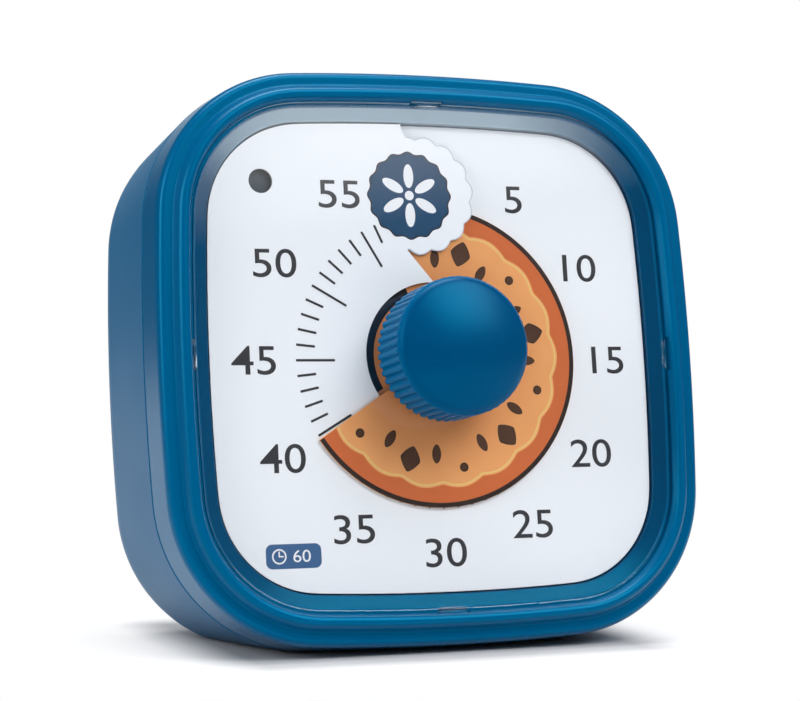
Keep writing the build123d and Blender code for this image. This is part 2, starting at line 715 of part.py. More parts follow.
def coil_saddles(z0, z1):
    """Two ribs of the housing that hold the stator's legs, front or rear of it."""
    ribs = Part()
    for x in (COIL_LEFT - 1.4, COIL_RIGHT + 1.4):
        ribs += block(x - 0.6, x + 0.6, COIL_Y - 1.2, COIL_Y + 1.2, z0, z1)
    return ribs


def movement_cover():
    """Front half of the housing, with screw ears, bearings and the contact's post."""
    cover = movement_outline(0, MOVE_SPLIT, MOVE_FRONT)
    cover -= movement_outline(MOVE_WALL, MOVE_SPLIT - 1, plate_back)
    for x, y in ear_places():
        root = x + EAR_RADIUS if x < 0 else x - EAR_RADIUS
        cover += rod(EAR_RADIUS, plate_back, MOVE_FRONT, x, y)
        cover += block(min(x, root), max(x, root), y - EAR_RADIUS, y + EAR_RADIUS, plate_back, MOVE_FRONT)
        cover -= rod(SMALL_SCREW + SLIDING, plate_back - 1, MOVE_FRONT + 1, x, y)
    cover += coil_saddles(stator_middle() + STATOR_THICK / 2, plate_back)
    cover += block(9.0, 11.5, -5.6, -4.8, LAYER_TOP + 0.2, plate_back)
    cover -= rod(SPINDLE_RADIUS + RUNNING, plate_back - 1, MOVE_FRONT + 1)
    return cover - pivot_holes(plate_back - 1, plate_back + PIVOT_LENGTH + 0.1)


def movement_base():
    """Rear half of the housing, with bearings and a slot for the coil's leads."""
    base = movement_outline(0, MOVE_REAR, MOVE_SPLIT - SLIDING)
    base -= movement_outline(MOVE_WALL, base_front, MOVE_SPLIT + 1)
    base += coil_saddles(base_front, stator_middle() - STATOR_THICK / 2)
    base -= rod(SPINDLE_THIN + RUNNING, MOVE_REAR + 0.5, base_front + 1)
    base -= block(-13.0, -9.0, -21.4, -20.0, MOVE_REAR - 1, base_front + 1)
    return base - pivot_holes(base_front - PIVOT_LENGTH - 0.1, base_front + 1)


def alarm_contact():
    """Leaf contact that rides beside the cam, on the cover's post."""
    low = LAYER_TOP + 0.25
    return block(-2.0, 11.0, -4.75, -4.45, low, plate_back - 0.1)


def movement_screws():
    """Screws that hold the movement's ears to the front case."""
    screws = Part()
    for x, y in ear_places():
        screws += screw(SMALL_SCREW, SMALL_HEAD, SMALL_HEAD_THICK, plate_back, FLOOR_TOP - 0.8, x, y)
    return screws


# ---- Rear case, feet, battery bay ----
def door_edges():
    """Left, right, lower and upper edge of the battery door."""
    side = BAY_HALF_LENGTH + DOOR_OVERLAP + BAY_WALL / 2
    low = CELL_Y - bay_half_width - DOOR_OVERLAP
    high = CELL_Y + bay_half_width + DOOR_OVERLAP
    return -side, side, low, high


def rear_case():
    """Deep shell with tongue, screw wells, battery bay, standoffs, slider slot and sound holes."""
    outer = shell_body(half, rear_front, REAR_Z, REAR_ROUND)
    inner = shell_body(half - WALL, rear_front, rear_inner, REAR_ROUND - WALL)
    inner = inner + slab(half - WALL, rear_front, rear_front + 1)
    hollow = inner - below_sole(WALL)
    outside = outer - below_sole()
    case = outside - hollow
    case += tongue()
    posts = rear_posts() + battery_walls() + standoffs() + slider_rails() + buzzer_seat()
    case += posts & outside
    return case - rear_cuts()


def tongue():
    """Rim that stands up into the front case."""
    outer = half - SKIRT_WALL - 0.2
    rim = soft_ring(outer, outer - TONGUE, rear_front - 2.5, rear_front + TONGUE_RISE)
    rim += soft_ring(half - WALL / 2, outer - TONGUE, rear_front - 2.5, rear_front)
    return rim - below_sole(WALL / 2)


def rear_posts():
    """Screw posts from the back to the front posts."""
    posts = Part()
    for x, y in corners(screw_place, screw_place):
        posts += rod(POST_RADIUS + 0.6, REAR_Z, POST_END - SLIDING, x, y)
    return posts


def battery_walls():
    """Four walls round the cell."""
    low = CELL_Y - bay_half_width
    high = CELL_Y + bay_half_width
    side = BAY_HALF_LENGTH
    outside = block(-side - BAY_WALL, side + BAY_WALL, low - BAY_WALL, high + BAY_WALL, rear_inner - 0.5,
                    rear_inner + BAY_RISE)
    return outside - block(-side, side, low, high, REAR_Z - 1, rear_inner + BAY_RISE + 1)


def standoff_places():
    """Fixing points of the circuit board."""
    dx = BOARD_LENGTH / 2 - STANDOFF_INSET
    dy = BOARD_WIDTH / 2 - STANDOFF_INSET
    return [(BOARD_X + x, BOARD_Y + y) for x, y in corners(dx, dy)]


def standoffs():
    """Posts under the circuit board."""
    posts = Part()
    for x, y in standoff_places():
        posts += rod(STANDOFF_RADIUS, rear_inner - 0.5, BOARD_Z, x, y)
    return posts


def slider_flange_size():
    """Length and width of the flange that covers the slider's slot from inside."""
    slot = SLIDER_LENGTH + 2 * SLIDER_TRAVEL + 0.6
    return slot + 2 * SLIDER_TRAVEL + 1.0, SLIDER_WIDTH + 3.0


def slider_rails():
    """Two rails that guide the slider's flange."""
    length, width = slider_flange_size()
    rails = Part()
    for side in (-1, 1):
        middle = SLIDER_Y + side * (width / 2 + 0.2 + 0.5)
        rails += block(SLIDER_X - length / 2, SLIDER_X + length / 2, middle - 0.5, middle + 0.5,
                       rear_inner - 0.5, rear_inner + SLIDER_FLANGE + 0.4)
    return rails


def buzzer_seat():
    """Ring that holds the buzzer over the sound holes."""
    ring = rod(BUZZER_RADIUS + 1.1, rear_inner - 0.5, rear_inner + 2.0, BUZZER_X, BUZZER_Y)
    return ring - rod(BUZZER_RADIUS + SLIDING, rear_inner - 1, rear_inner + 3, BUZZER_X, BUZZER_Y)


def rear_cuts():
    """Screw wells, pilot holes, battery opening, hook notches, slot, sound holes, foot sockets."""
    left, right, low, high = door_edges()
    cuts = block(left - DOOR_CLEAR, right + DOOR_CLEAR, low - DOOR_CLEAR, high + DOOR_CLEAR, REAR_Z - 1,
                 rear_inner + 0.15)
    for x in (-HOOK_X, HOOK_X):
        cuts += block(x - HOOK_WIDTH / 2 - 0.4, x + HOOK_WIDTH / 2 + 0.4, low - HINGE_DROP - 4, low + 4,
                      rear_inner, rear_inner + 3.2)
    for x, y in corners(screw_place, screw_place):
        cuts += rod(WELL_RADIUS, REAR_Z - 1, WELL_END, x, y)
        cuts += rod(SCREW_RADIUS + SLIDING, WELL_END - 1, POST_END + 1, x, y)
    for x, y in standoff_places():
        cuts += rod(SMALL_SCREW + SEATED, rear_inner + 0.6, BOARD_Z + 1, x, y)
    slot = SLIDER_LENGTH / 2 + SLIDER_TRAVEL + 0.3
    cuts += block(SLIDER_X - slot, SLIDER_X + slot, SLIDER_Y - SLIDER_WIDTH / 2 - 0.3,
                  SLIDER_Y + SLIDER_WIDTH / 2 + 0.3, REAR_Z - 1, rear_inner + 0.01)
    for ring, count in ((0.0, 1), (2.6, 6), (5.2, 12)):
        for hole in range(count):
            turn = math.radians(360 * hole / count)
            cuts += rod(GRILLE_HOLE, REAR_Z - 1, rear_inner + 0.01, BUZZER_X + ring * math.cos(turn),
                        BUZZER_Y + ring * math.sin(turn))
    for x, z in foot_places():
        cuts += sole_rod(FOOT_RADIUS + 0.1, x, z, -2, FOOT_SOCKET)
    return cuts


def foot_places():
    """X and bench height of each foot."""
    return [(FOOT_X, FOOT_FRONT_Z), (-FOOT_X, FOOT_FRONT_Z), (FOOT_X, FOOT_REAR_Z), (-FOOT_X, FOOT_REAR_Z)]


def rubber_feet():
    """Four round pads in sockets of the sole."""
    feet = Part()
    for x, z in foot_places():
        feet += sole_rod(FOOT_RADIUS, x, z, -FOOT_PROUD, FOOT_SOCKET)
    return feet


def case_screws():
    """Long screws from the back into the front case's posts."""
    screws = Part()
    for x, y in corners(screw_place, screw_place):
        screws += screw(SCREW_RADIUS, SCREW_HEAD, SCREW_HEAD_THICK, WELL_END, floor_bottom - 1.0, x, y)
    return screws


def battery_door():
    """Door in the back. It swings on its lower edge, on two hooks behind the wall."""
    left, right, low, high = door_edges()
    door = block(left, right, low, high, REAR_Z, rear_inner)
    for x in (-HOOK_X, HOOK_X):
        x0 = x - HOOK_WIDTH / 2
        x1 = x + HOOK_WIDTH / 2
        hook_low = rear_inner + HOOK_RISE
        door += block(x0, x1, low, low + NECK, rear_inner, hook_low + HOOK_THICK)
        door += block(x0, x1, low - HOOK_REACH, low + NECK, hook_low, hook_low + HOOK_THICK)
    for rib in range(4):
        ridge = high - 2.2 - 1.2 * rib
        door -= block(-6, 6, ridge - 0.3, ridge + 0.3, REAR_Z - 1, REAR_Z + 0.4)
    for x in (-8.0, 8.0):
        door -= block(x - 0.4, x + 0.4, high - 8, high + 1, REAR_Z - 1, rear_inner + 1)
    return door


def battery():
    """One AA cell with its positive nub at the right."""
    length = CELL_LENGTH - 1.2
    x0 = BAY_HALF_LENGTH - 0.6 - CELL_LENGTH
    cell = Pos(x0 + length / 2, CELL_Y, cell_z) * Rot(0, 90, 0) * Cylinder(CELL_RADIUS, length)
    nub = Pos(x0 + length + 0.6, CELL_Y, cell_z) * Rot(0, 90, 0) * Cylinder(2.7, 1.2)
    return cell + nub


def battery_plate():
    """Flat contact at the positive end."""
    x1 = BAY_HALF_LENGTH
    return block(x1 - 0.5, x1 - 0.1, CELL_Y - 5, CELL_Y + 5, cell_z - 5.5, rear_inner + BAY_RISE + 1.5)


def battery_spring():
    """Contact plate with a coil spring at the negative end."""
    x0 = -BAY_HALF_LENGTH
    plate = block(x0 + 0.1, x0 + 0.5, CELL_Y - 5, CELL_Y + 5, cell_z - 5.5, rear_inner + BAY_RISE + 1.5)
    wire = 0.35
    gap = 2 * BAY_HALF_LENGTH - CELL_LENGTH - 0.6 - 0.5
    turns = 3.5
    height = gap - 2 * wire - 0.05
    coil = Edge.make_helix(height / turns, height, 3.4)
    section = Plane(origin=coil @ 0, z_dir=coil % 0) * Circle(wire)
    spring = sweep(section, path=coil, is_frenet=True)
    return plate + Pos(x0 + 0.5 + wire - 0.1, CELL_Y, cell_z) * Rot(0, 90, 0) * spring


# ---- Electronics ----
def circuit_board():
    """Main board on four standoffs."""
    board = block(BOARD_X - BOARD_LENGTH / 2, BOARD_X + BOARD_LENGTH / 2, BOARD_Y - BOARD_WIDTH / 2,
                  BOARD_Y + BOARD_WIDTH / 2, BOARD_Z, board_front)
    for x, y in standoff_places():
        board -= rod(SMALL_SCREW + 0.2, BOARD_Z - 1, board_front + 1, x, y)
    return board


def board_screws():
    """Screws through the board, driven towards the back."""
    screws = Part()
    for x, y in standoff_places():
        one = screw(SMALL_SCREW, SMALL_HEAD, SMALL_HEAD_THICK, 0, 5.6, 0, 0)
        screws += Pos(x, y, board_front) * Rot(180, 0, 0) * one
    return screws


def controller_chip():
    """Controller in a flat square package."""
    x = BOARD_X + 5
    return block(x - 3.5, x + 3.5, BOARD_Y - 3.5, BOARD_Y + 3.5, board_front, board_front + 1.4)


def crystal():
    """Clock crystal in a small metal can."""
    x = BOARD_X - 8
    can = Pos(x, BOARD_Y + 2, board_front + 1.1) * Rot(0, 90, 0) * Cylinder(1.0, 6.0)
    return can + block(x - 3, x + 3, BOARD_Y + 1.4, BOARD_Y + 2.6, board_front, board_front + 1.1)


def capacitors():
    """Two upright electrolytic capacitors."""
    caps = Part()
    for x in (BOARD_X - 9, BOARD_X - 2):
        caps += rod(2.0, board_front, board_front + 5.5, x, BOARD_Y - 5)
    return caps


def resistors():
    """Six chip resistors in a row."""
    row = Part()
    for number in range(6):
        x = BOARD_X + 2 + 2.4 * number
        row += block(x - 0.6, x + 0.6, BOARD_Y + 6.2, BOARD_Y + 8.2, board_front, board_front + 0.6)
    return row


def switch_body():
    """Slide switch on the rear of the board, with a pocket for the slider's stem."""
    x, y = SLIDER_X, SLIDER_Y
    travel = SLIDER_TRAVEL + STEM_LENGTH / 2 + 0.3
    wide = STEM_WIDTH / 2 + 0.3
    low = BOARD_Z - SWITCH_HEIGHT
    body = block(x - 5.5, x + 5.5, y - 2.2, y + 2.2, low, BOARD_Z)
    return body - block(x - travel, x + travel, y - wide, y + wide, low - 1, low + 1.8)


def volume_slider():
    """Slider with a ridged thumb piece, a flange behind the wall and a stem into the switch."""
    length, width = slider_flange_size()
    low = rear_inner + 0.2
    x, y = SLIDER_X, SLIDER_Y
    slider = block(x - length / 2, x + length / 2, y - width / 2, y + width / 2, low, low + SLIDER_FLANGE)
    slider += block(x - SLIDER_LENGTH / 2, x + SLIDER_LENGTH / 2, y - SLIDER_WIDTH / 2, y + SLIDER_WIDTH / 2,
                    REAR_Z - SLIDER_PROUD, low)
    slider += block(x - STEM_LENGTH / 2, x + STEM_LENGTH / 2, y - STEM_WIDTH / 2, y + STEM_WIDTH / 2,
                    low, BOARD_Z - SWITCH_HEIGHT + 1.4)
    for ridge in (-1.2, 0.0, 1.2):
        slider -= block(x + ridge - 0.25, x + ridge + 0.25, y - SLIDER_WIDTH, y + SLIDER_WIDTH,
                        REAR_Z - SLIDER_PROUD - 1, REAR_Z - SLIDER_PROUD + 0.3)
    return slider


def buzzer_case():
    """Cup of the buzzer, open towards the sound holes."""
    low = rear_inner + 0.1
    cup = rod(BUZZER_RADIUS, low, low + BUZZER_HEIGHT, BUZZER_X, BUZZER_Y)
    cup -= rod(BUZZER_RADIUS - BUZZER_WALL, low - 1, low + BUZZER_HEIGHT - BUZZER_WALL, BUZZER_X, BUZZER_Y)
    step = low + BUZZER_HEIGHT / 2
    ring = rod(BUZZER_RADIUS - BUZZER_WALL / 2, step, step + 0.6, BUZZER_X, BUZZER_Y)
    return cup + (ring - rod(BUZZER_RADIUS - BUZZER_WALL - 0.8, step - 1, step + 1, BUZZER_X, BUZZER_Y))


def piezo_disc():
    """Brass disc of the buzzer, lying on the cup's step."""
    top = rear_inner + 0.1 + BUZZER_HEIGHT / 2
    radius = BUZZER_RADIUS - BUZZER_WALL - SLIDING
    disc = rod(radius, top - 0.25, top, BUZZER_X, BUZZER_Y)
    return disc + rod(radius * 0.65, top - 0.45, top - 0.25, BUZZER_X, BUZZER_Y)


def led():
    """Lamp with a domed front and a collar on its board."""
    dome_z = FLOOR_TOP - FLOOR_THICK * 0.65 - 0.4 - LAMP_RADIUS
    body = rod(LAMP_RADIUS, LAMP_TUBE_END, dome_z, lamp_x, lamp_y)
    return body + Pos(lamp_x, lamp_y, dome_z) * Sphere(LAMP_RADIUS)


def led_board():
    """Small board on the end of the lamp's tube."""
    beside_movement = movement_limits()[0] - 0.4
    low = LAMP_TUBE_END - 1.0
    return block(lamp_x - 1.9, beside_movement, lamp_y - 5.4, lamp_y + 1.7, low, LAMP_TUBE_END)


# ---- Wires inside the case ----
def wire_tube(points, radius=0.5):
    """Insulated wire through points, with arcs as large as its runs allow."""
    runs = [(Vector(b) - Vector(a)).length for a, b in zip(points, points[1:])]
    radii = []
    for number in range(1, len(points) - 1):
        back = Vector(points[number]) - Vector(points[number - 1])
        ahead = Vector(points[number + 1]) - Vector(points[number])
        turn = math.radians(back.get_angle(ahead))
        radii.append(0.45 * min(runs[number - 1], runs[number]) / math.tan(turn / 2))
    path = FilletPolyline(*points, radius=radii)
    section = Plane(origin=path @ 0, z_dir=path % 0) * Circle(radius)
    tube = sweep(section, path=path)
    expected = math.pi * radius ** 2 * path.length
    print(f"  wire: smallest arc {min(radii):.1f}, volume {tube.volume:.2f} of {expected:.2f}")
    return tube


def battery_lead_red():
    """From the positive contact to the board."""
    x = BAY_HALF_LENGTH - 0.3
    top = rear_inner + BAY_RISE + 1.5
    end_x = BOARD_X + BOARD_LENGTH / 2 - 9
    return wire_tube([
        (x, CELL_Y + 2, top), (x, CELL_Y + 2.6, top + 3.5), (x - 0.6, CELL_Y + 7.5, top + 5.5),
        (x - 2.2, CELL_Y + 13.0, top + 3.0), (end_x, board_edge + 2.2, board_front + 4.0),
        (end_x, board_edge + 3.2, board_front + WIRE_END),
    ])


def battery_lead_black():
    """From the negative contact to the board."""
    x = -BAY_HALF_LENGTH + 0.3
    top = rear_inner + BAY_RISE + 1.5
    end_x = BOARD_X - BOARD_LENGTH / 2 + 7
    return wire_tube([
        (x, CELL_Y + 2, top), (x + 0.8, CELL_Y + 2.4, top + 4.0), (x + 6.5, CELL_Y + 6.0, top + 6.0),
        (x + 16.0, CELL_Y + 10.5, top + 5.0), (end_x - 6.0, board_edge + 0.5, board_front + 7.0),
        (end_x, board_edge + 2.0, board_front + 3.5), (end_x, board_edge + 3.0, board_front + WIRE_END),
    ])


def coil_leads():
    """Two thin wires from the coil to the board."""
    leads = Part()
    for number in (0, 1):
        x = -12.2 + 2.4 * number
        end_x = BOARD_X - BOARD_LENGTH / 2 + 11 + 2 * number
        leads += wire_tube([
            (x, -20.7, base_front + 0.5), (x, -20.5, base_front - 4.0), (x + 1, -16.0, base_front - 6.5),
            (x + 3, -8.0, base_front - 7.0), (end_x - 2, -1.5, board_front + 6.5),
            (end_x, board_edge + 1.8, board_front + WIRE_END),
        ], radius=0.35)
    return leads


def lamp_leads():
    """Two thin wires from the lamp's board to the main board."""
    leads = Part()
    for number in (0, 1):
        y = lamp_y - 3.0 - 1.6 * number
        end_y = BOARD_Y + BOARD_WIDTH / 2 - 6.0 - 1.8 * number
        x = lamp_x + 0.9
        leads += wire_tube([
            (x, y, LAMP_TUBE_END - 1.0), (x, y, LAMP_TUBE_END - 6.0),
            (x + 1.0, y - 0.4, LAMP_TUBE_END - 12.0), (x + 8.0, y - 1.4, LAMP_TUBE_END - 16.5),
            (x + 17.0, y - 2.4, LAMP_TUBE_END - 19.0),
            (BOARD_X - BOARD_LENGTH / 2 + 1.4, end_y + 0.2, board_front + 3.2),
            (BOARD_X - BOARD_LENGTH / 2 + 2.4, end_y, board_front + WIRE_END),
        ], radius=0.35)
    return leads


PIECES = {
    "front_case": front_case,
    "rear_case": rear_case,
    "dial_lens": dial_lens,
    "dial_card": dial_card,
    "timer_disc": timer_disc,
    "disc_hub": disc_hub,
    "led_window": led_window,
    "knob": knob,
    "spindle": spindle,
    "clutch_spring": clutch_spring,
    "alarm_cam": alarm_cam,
    "alarm_contact": alarm_contact,
    "movement_cover": movement_cover,
    "movement_base": movement_base,
    "movement_screws": movement_screws,
    "centre_wheel": centre_wheel,
    "third_wheel": lambda: train_wheel("third", "fourth", 1),
    "fourth_wheel": lambda: train_wheel("fourth", "fifth", 2),
    "fifth_wheel": lambda: train_wheel("fifth", "rotor", 3),
    "rotor_pinion": rotor_pinion,
    "rotor_magnet": rotor_magnet,
    "stator": stator,
    "coil_bobbin": coil_bobbin,
    "coil_winding": coil_winding,
    "rubber_feet": rubber_feet,
    "case_screws": case_screws,
    "battery_door": battery_door,
    "battery": battery,
    "battery_plate": battery_plate,
    "battery_spring": battery_spring,
    "circuit_board": circuit_board,
    "board_screws": board_screws,
    "controller_chip": controller_chip,
    "crystal": crystal,
    "capacitors": capacitors,
    "resistors": resistors,
    "switch_body": switch_body,
    "volume_slider": volume_slider,
    "buzzer_case": buzzer_case,
    "piezo_disc": piezo_disc,
    "led": led,
    "led_board": led_board,
    "battery_lead_red": battery_lead_red,
    "battery_lead_black": battery_lead_black,
    "coil_leads": coil_leads,
    "lamp_leads": lamp_leads,
}


def place_on_table(pieces):
    """Stand the pieces up, leaning back, with the origin under the middle of their box."""
    stand = Rot(90 - LEAN_BACK, 0, 0)
    boxes = [(stand * piece).bounding_box() for piece in pieces.values()]
    x = (min(box.min.X for box in boxes) + max(box.max.X for box in boxes)) / 2
    y = (min(box.min.Y for box in boxes) + max(box.max.Y for box in boxes)) / 2
    z = min(box.min.Z for box in boxes)
    return Pos(-x, -y, -z) * stand


def show_point(label, place, point):
    """Print one bench point in the final frame."""
    moved = (place * Pos(*point)).position
    print(f"{label}: {moved.X:.4f} {moved.Y:.4f} {moved.Z:.4f}")


def main():
    os.makedirs("parts", exist_ok=True)
    pieces = {name: make() for name, make in PIECES.items()}
    place = place_on_table(pieces)
    for name, piece in pieces.items():
        export_step(place * piece, f"parts/{name}.step")
    show_point("dial axis", place, (0, 0, 0))
    show_point("dial axis, 10 mm nearer", place, (0, 0, 10))
    show_point("bench up", place, (0, 10, 0))
    for name, (x, y) in gear_centres().items():
        show_point(name, place, (x, y, 0))
    hinge_y = door_edges()[2] - HINGE_DROP
    show_point("door hinge", place, (0, hinge_y, REAR_Z))
    show_point("slider", place, (SLIDER_X, SLIDER_Y, REAR_Z))
    show_point("sole middle", place, (0, sole_y, PARTING_Z))


main()
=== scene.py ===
# %% [markdown]
# # A visual countdown timer
# The real object is a square desk timer. A coloured disc comes out from under a white dial through a
# slit, and covers the minutes that are left. This lesson dresses a finished mechanical model of it. The
# first step loads that model, which fixes every size and place.

# %% Load the mechanical model
import json
import math

import bmesh
import bpy
import numpy as np
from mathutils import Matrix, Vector


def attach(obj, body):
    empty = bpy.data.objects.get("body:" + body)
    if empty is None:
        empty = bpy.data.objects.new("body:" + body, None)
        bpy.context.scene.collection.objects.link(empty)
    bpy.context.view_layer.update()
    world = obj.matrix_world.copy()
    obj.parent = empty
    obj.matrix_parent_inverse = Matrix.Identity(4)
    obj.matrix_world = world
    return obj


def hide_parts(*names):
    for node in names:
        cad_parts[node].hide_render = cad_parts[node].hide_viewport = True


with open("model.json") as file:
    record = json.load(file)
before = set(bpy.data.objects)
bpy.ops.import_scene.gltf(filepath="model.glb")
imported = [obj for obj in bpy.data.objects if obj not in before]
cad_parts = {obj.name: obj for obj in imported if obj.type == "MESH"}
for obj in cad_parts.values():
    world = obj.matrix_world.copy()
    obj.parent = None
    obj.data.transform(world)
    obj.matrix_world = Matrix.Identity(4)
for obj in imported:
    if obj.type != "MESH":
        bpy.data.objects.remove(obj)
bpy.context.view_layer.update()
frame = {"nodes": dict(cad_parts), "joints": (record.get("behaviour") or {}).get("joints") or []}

# %% [markdown]
# ## A bench to work on
# A clockmaker works with the timer on its back, so every shape here is written in bench millimetres: x to
# the right, y towards 12 o'clock, z towards the reader, and the knob's axis at x = y = 0. One function
# turns bench points into the metres of the finished frame. It reads the knob's axis from the model, so
# the dressed timer leans back exactly as the mechanical one does.

# %% The bench frame
knob_axis = next(joint for joint in frame["joints"] if joint["name"] == "knob_turn")
axis_point = np.array(knob_axis["pos_m"], float)
towards_reader = -np.array(knob_axis["axis"], float)
towards_reader /= np.linalg.norm(towards_reader)
to_the_right = np.array([1.0, 0.0, 0.0])
towards_twelve = np.cross(towards_reader, to_the_right)
bench_axes = np.stack([to_the_right, towards_twelve, towards_reader])


def to_frame(points):
    """Frame point = a point on the knob's axis + bench x, y and z along the three bench directions."""
    return axis_point + 0.001 * np.asarray(points, float) @ bench_axes


print("the dial leans back by", round(math.degrees(math.asin(towards_reader[2])), 2), "degrees")

# %% [markdown]
# ## Sizes
# The bezel, the dial and the knob are given as insets from the case's outline and as heights over the
# dial. The same few numbers are used by every piece that has to fit its neighbour.

# %% Sizes in millimetres
HALF = 45.0              # half the case's width
CORNER = 24.0            # radius of the corners of the outline
BOW = 400.0              # radius of the gently bowed sides
PARTING = -6.1           # rear edge of the front shell
BACK = -42.0             # outer face of the back
DRAFT = math.radians(2)  # taper of the rear shell
BACK_ROUND = 13.0
WALL = 2.0
LEAN = math.radians(8)
SOLE_Y = -44.6           # height of the sole at the parting line
DIAL_HALF = 36.55
DIAL_START = -0.95       # height of the dial sheet at 12 o'clock, on its low side
PITCH = 1.0              # both sheets climb by this in one turn
SHEET = 0.25
HUB_HOLE = 11.5
DISC_RADIUS = 23.7
DISC_SHOWN = 237.0       # degrees of the disc in sight
LENS_TOP = 1.95
LENS_BOTTOM = 1.15
KNOB_RADIUS = 10.7
KNOB_BOTTOM = 2.75
KNOB_TOP = 14.1
LAMP = (-27.4, 26.9)
PRINT = np.array([0.15, -0.72])  # the printing sits this far off the knob's axis

# %% [markdown]
# ## Surfaces as arrays
# Nearly every part of a moulded product is one line carried along another. So a solid is kept here as
# three things: an array of points, an array of four-cornered faces, and a few large closing faces. All of
# them are worked out at once for a whole grid. The signed volume says whether the faces point outwards.

# %% Solids from grids
def outward(points, quads, caps):
    """Signed volume = sum over triangles of a . (b x c) / 6. The faces are turned over if it is negative."""
    a, b, c, d = (points[quads[:, k]] for k in range(4))
    volume = np.einsum("ij,ij->i", a, np.cross(b, c)).sum() + np.einsum("ij,ij->i", a, np.cross(c, d)).sum()
    for cap in caps:
        ring = points[cap]
        volume += np.einsum("ij,ij->i", np.broadcast_to(ring[0], ring[1:-1].shape),
                            np.cross(ring[1:-1], ring[2:])).sum()
    if volume < 0:
        quads = quads[:, ::-1]
        caps = [cap[::-1] for cap in caps]
    return points, quads, caps


def skin(loops, ring=False):
    """Faces join point (row, column) to its neighbours. Columns close on themselves. Rows close too in a
    ring, and otherwise the first and last row each get one closing face."""
    loops = np.asarray(loops, float)
    rows, columns = loops.shape[:2]
    index = np.arange(rows * columns).reshape(rows, columns)
    across = np.roll(index, -1, axis=1)
    if ring:
        below, below_across = np.roll(index, -1, axis=0), np.roll(across, -1, axis=0)
        quads = np.stack([index, across, below_across, below], -1).reshape(-1, 4)
        caps = []
    else:
        quads = np.stack([index[:-1], across[:-1], across[1:], index[1:]], -1).reshape(-1, 4)
        caps = [index[0][::-1], index[-1]]
    return outward(loops.reshape(-1, 3), quads, caps)


def sheet(top, thickness):
    """A grid of points and the same grid lowered by a thickness, joined all round its rim."""
    rows, columns = top.shape[:2]
    low = top - np.array([0.0, 0.0, thickness])
    index = np.arange(rows * columns).reshape(rows, columns)
    face = np.stack([index[:-1, :-1], index[:-1, 1:], index[1:, 1:], index[1:, :-1]], -1).reshape(-1, 4)
    rim = np.concatenate([index[0, :-1], index[:-1, -1], index[-1, :0:-1], index[:0:-1, 0]])
    after = np.roll(rim, -1)
    shift = rows * columns
    side = np.stack([after, rim, rim + shift, after + shift], -1)
    quads = np.concatenate([face, face[:, ::-1] + shift, side])
    return outward(np.concatenate([top.reshape(-1, 3), low.reshape(-1, 3)]), quads, [])


def rounded(corners, steps=4):
    """Profile with each corner replaced by a parabola that leaves both edges the given length away.
    Point of the parabola = (1-t)^2 before + 2t(1-t) corner + t^2 after. A straight run over half a
    millimetre gets a point close to each end, which keeps the shading of its middle flat."""
    corners = [np.array(corner, float) for corner in corners]
    t = np.linspace(0, 1, steps)[:, None]
    stretches = [corners[0][None, :2]]
    for before, corner, after in zip(corners, corners[1:], corners[2:]):
        back, ahead = before[:2] - corner[:2], after[:2] - corner[:2]
        start = corner[:2] + back / np.linalg.norm(back) * corner[2]
        end = corner[:2] + ahead / np.linalg.norm(ahead) * corner[2]
        curve = (1 - t) ** 2 * start + 2 * t * (1 - t) * corner[:2] + t ** 2 * end
        stretches.append(corner[None, :2] if corner[2] == 0 else curve)
    stretches.append(corners[-1][None, :2])
    line = [stretches[0]]
    for stretch in stretches[1:]:
        run = stretch[0] - line[-1][-1]
        length = np.linalg.norm(run)
        if length > 0.5:
            line.append(line[-1][-1] + np.outer([0.12 / length, 1 - 0.12 / length], run))
        line.append(stretch)
    return np.concatenate(line)


# %% [markdown]
# ## The soft square
# The case's outline is four slightly bowed sides and four corners, all of them arcs. Moving such an
# outline inwards only shortens the arcs' radii, so point and normal of each column are worked out once,
# and a loop at any inset is the point minus inset times the normal.

# %% Outline of the case
def soft_square(side_steps=14, corner_steps=34):
    """Arc point = centre + radius (cos a, sin a), and the normal is (cos a, sin a)."""
    shift = BOW - HALF
    middle = (-shift + math.sqrt(2 * (BOW - CORNER) ** 2 - shift ** 2)) / 2
    turn = math.atan2(middle, middle + shift)
    side = np.linspace(-turn, turn, side_steps, endpoint=False)
    corner = np.linspace(turn, math.pi / 2 - turn, corner_steps, endpoint=False)
    angle = np.concatenate([side, corner])
    centre_x = np.where(angle < turn - 1e-9, -shift, middle)
    centre_y = np.where(angle < turn - 1e-9, 0.0, middle)
    radius = np.where(angle < turn - 1e-9, BOW, CORNER)
    normal = np.stack([np.cos(angle), np.sin(angle)], -1)
    point = np.stack([centre_x, centre_y], -1) + radius[:, None] * normal
    quarter = np.array([[0.0, 1.0], [-1.0, 0.0]])
    points, normals = [], []
    for _ in range(4):
        points.append(point)
        normals.append(normal)
        point, normal = point @ quarter, normal @ quarter
    return np.concatenate(points), np.concatenate(normals)


EDGE, EDGE_NORMAL = soft_square()
EDGE_ANGLE = np.arctan2(EDGE[:, 1], EDGE[:, 0])


KEEP_IN = 0.013  # keeps the fine outline inside the mechanical model's box


def carried(profile):
    """Loops of a profile of insets and heights, carried round the case's outline."""
    profile = np.asarray(profile, float)
    flat = EDGE[None] - (profile[:, 0, None, None] + KEEP_IN) * EDGE_NORMAL[None]
    height = np.broadcast_to(profile[:, 1, None, None], flat.shape[:2] + (1,))
    return np.concatenate([flat, height], -1)


def round_loops(profile, x=0.0, y=0.0, angles=None):
    """Loops of a turned shape: x + r cos a, y + r sin a, for a profile of radii and heights."""
    profile = np.asarray(profile, float)
    angles = np.linspace(0, 2 * math.pi, 72, endpoint=False) if angles is None else angles
    flat = np.stack([x + profile[:, :1] * np.cos(angles), y + profile[:, :1] * np.sin(angles)], -1)
    height = np.broadcast_to(profile[:, 1, None, None], flat.shape[:2] + (1,))
    return np.concatenate([flat, height], -1)


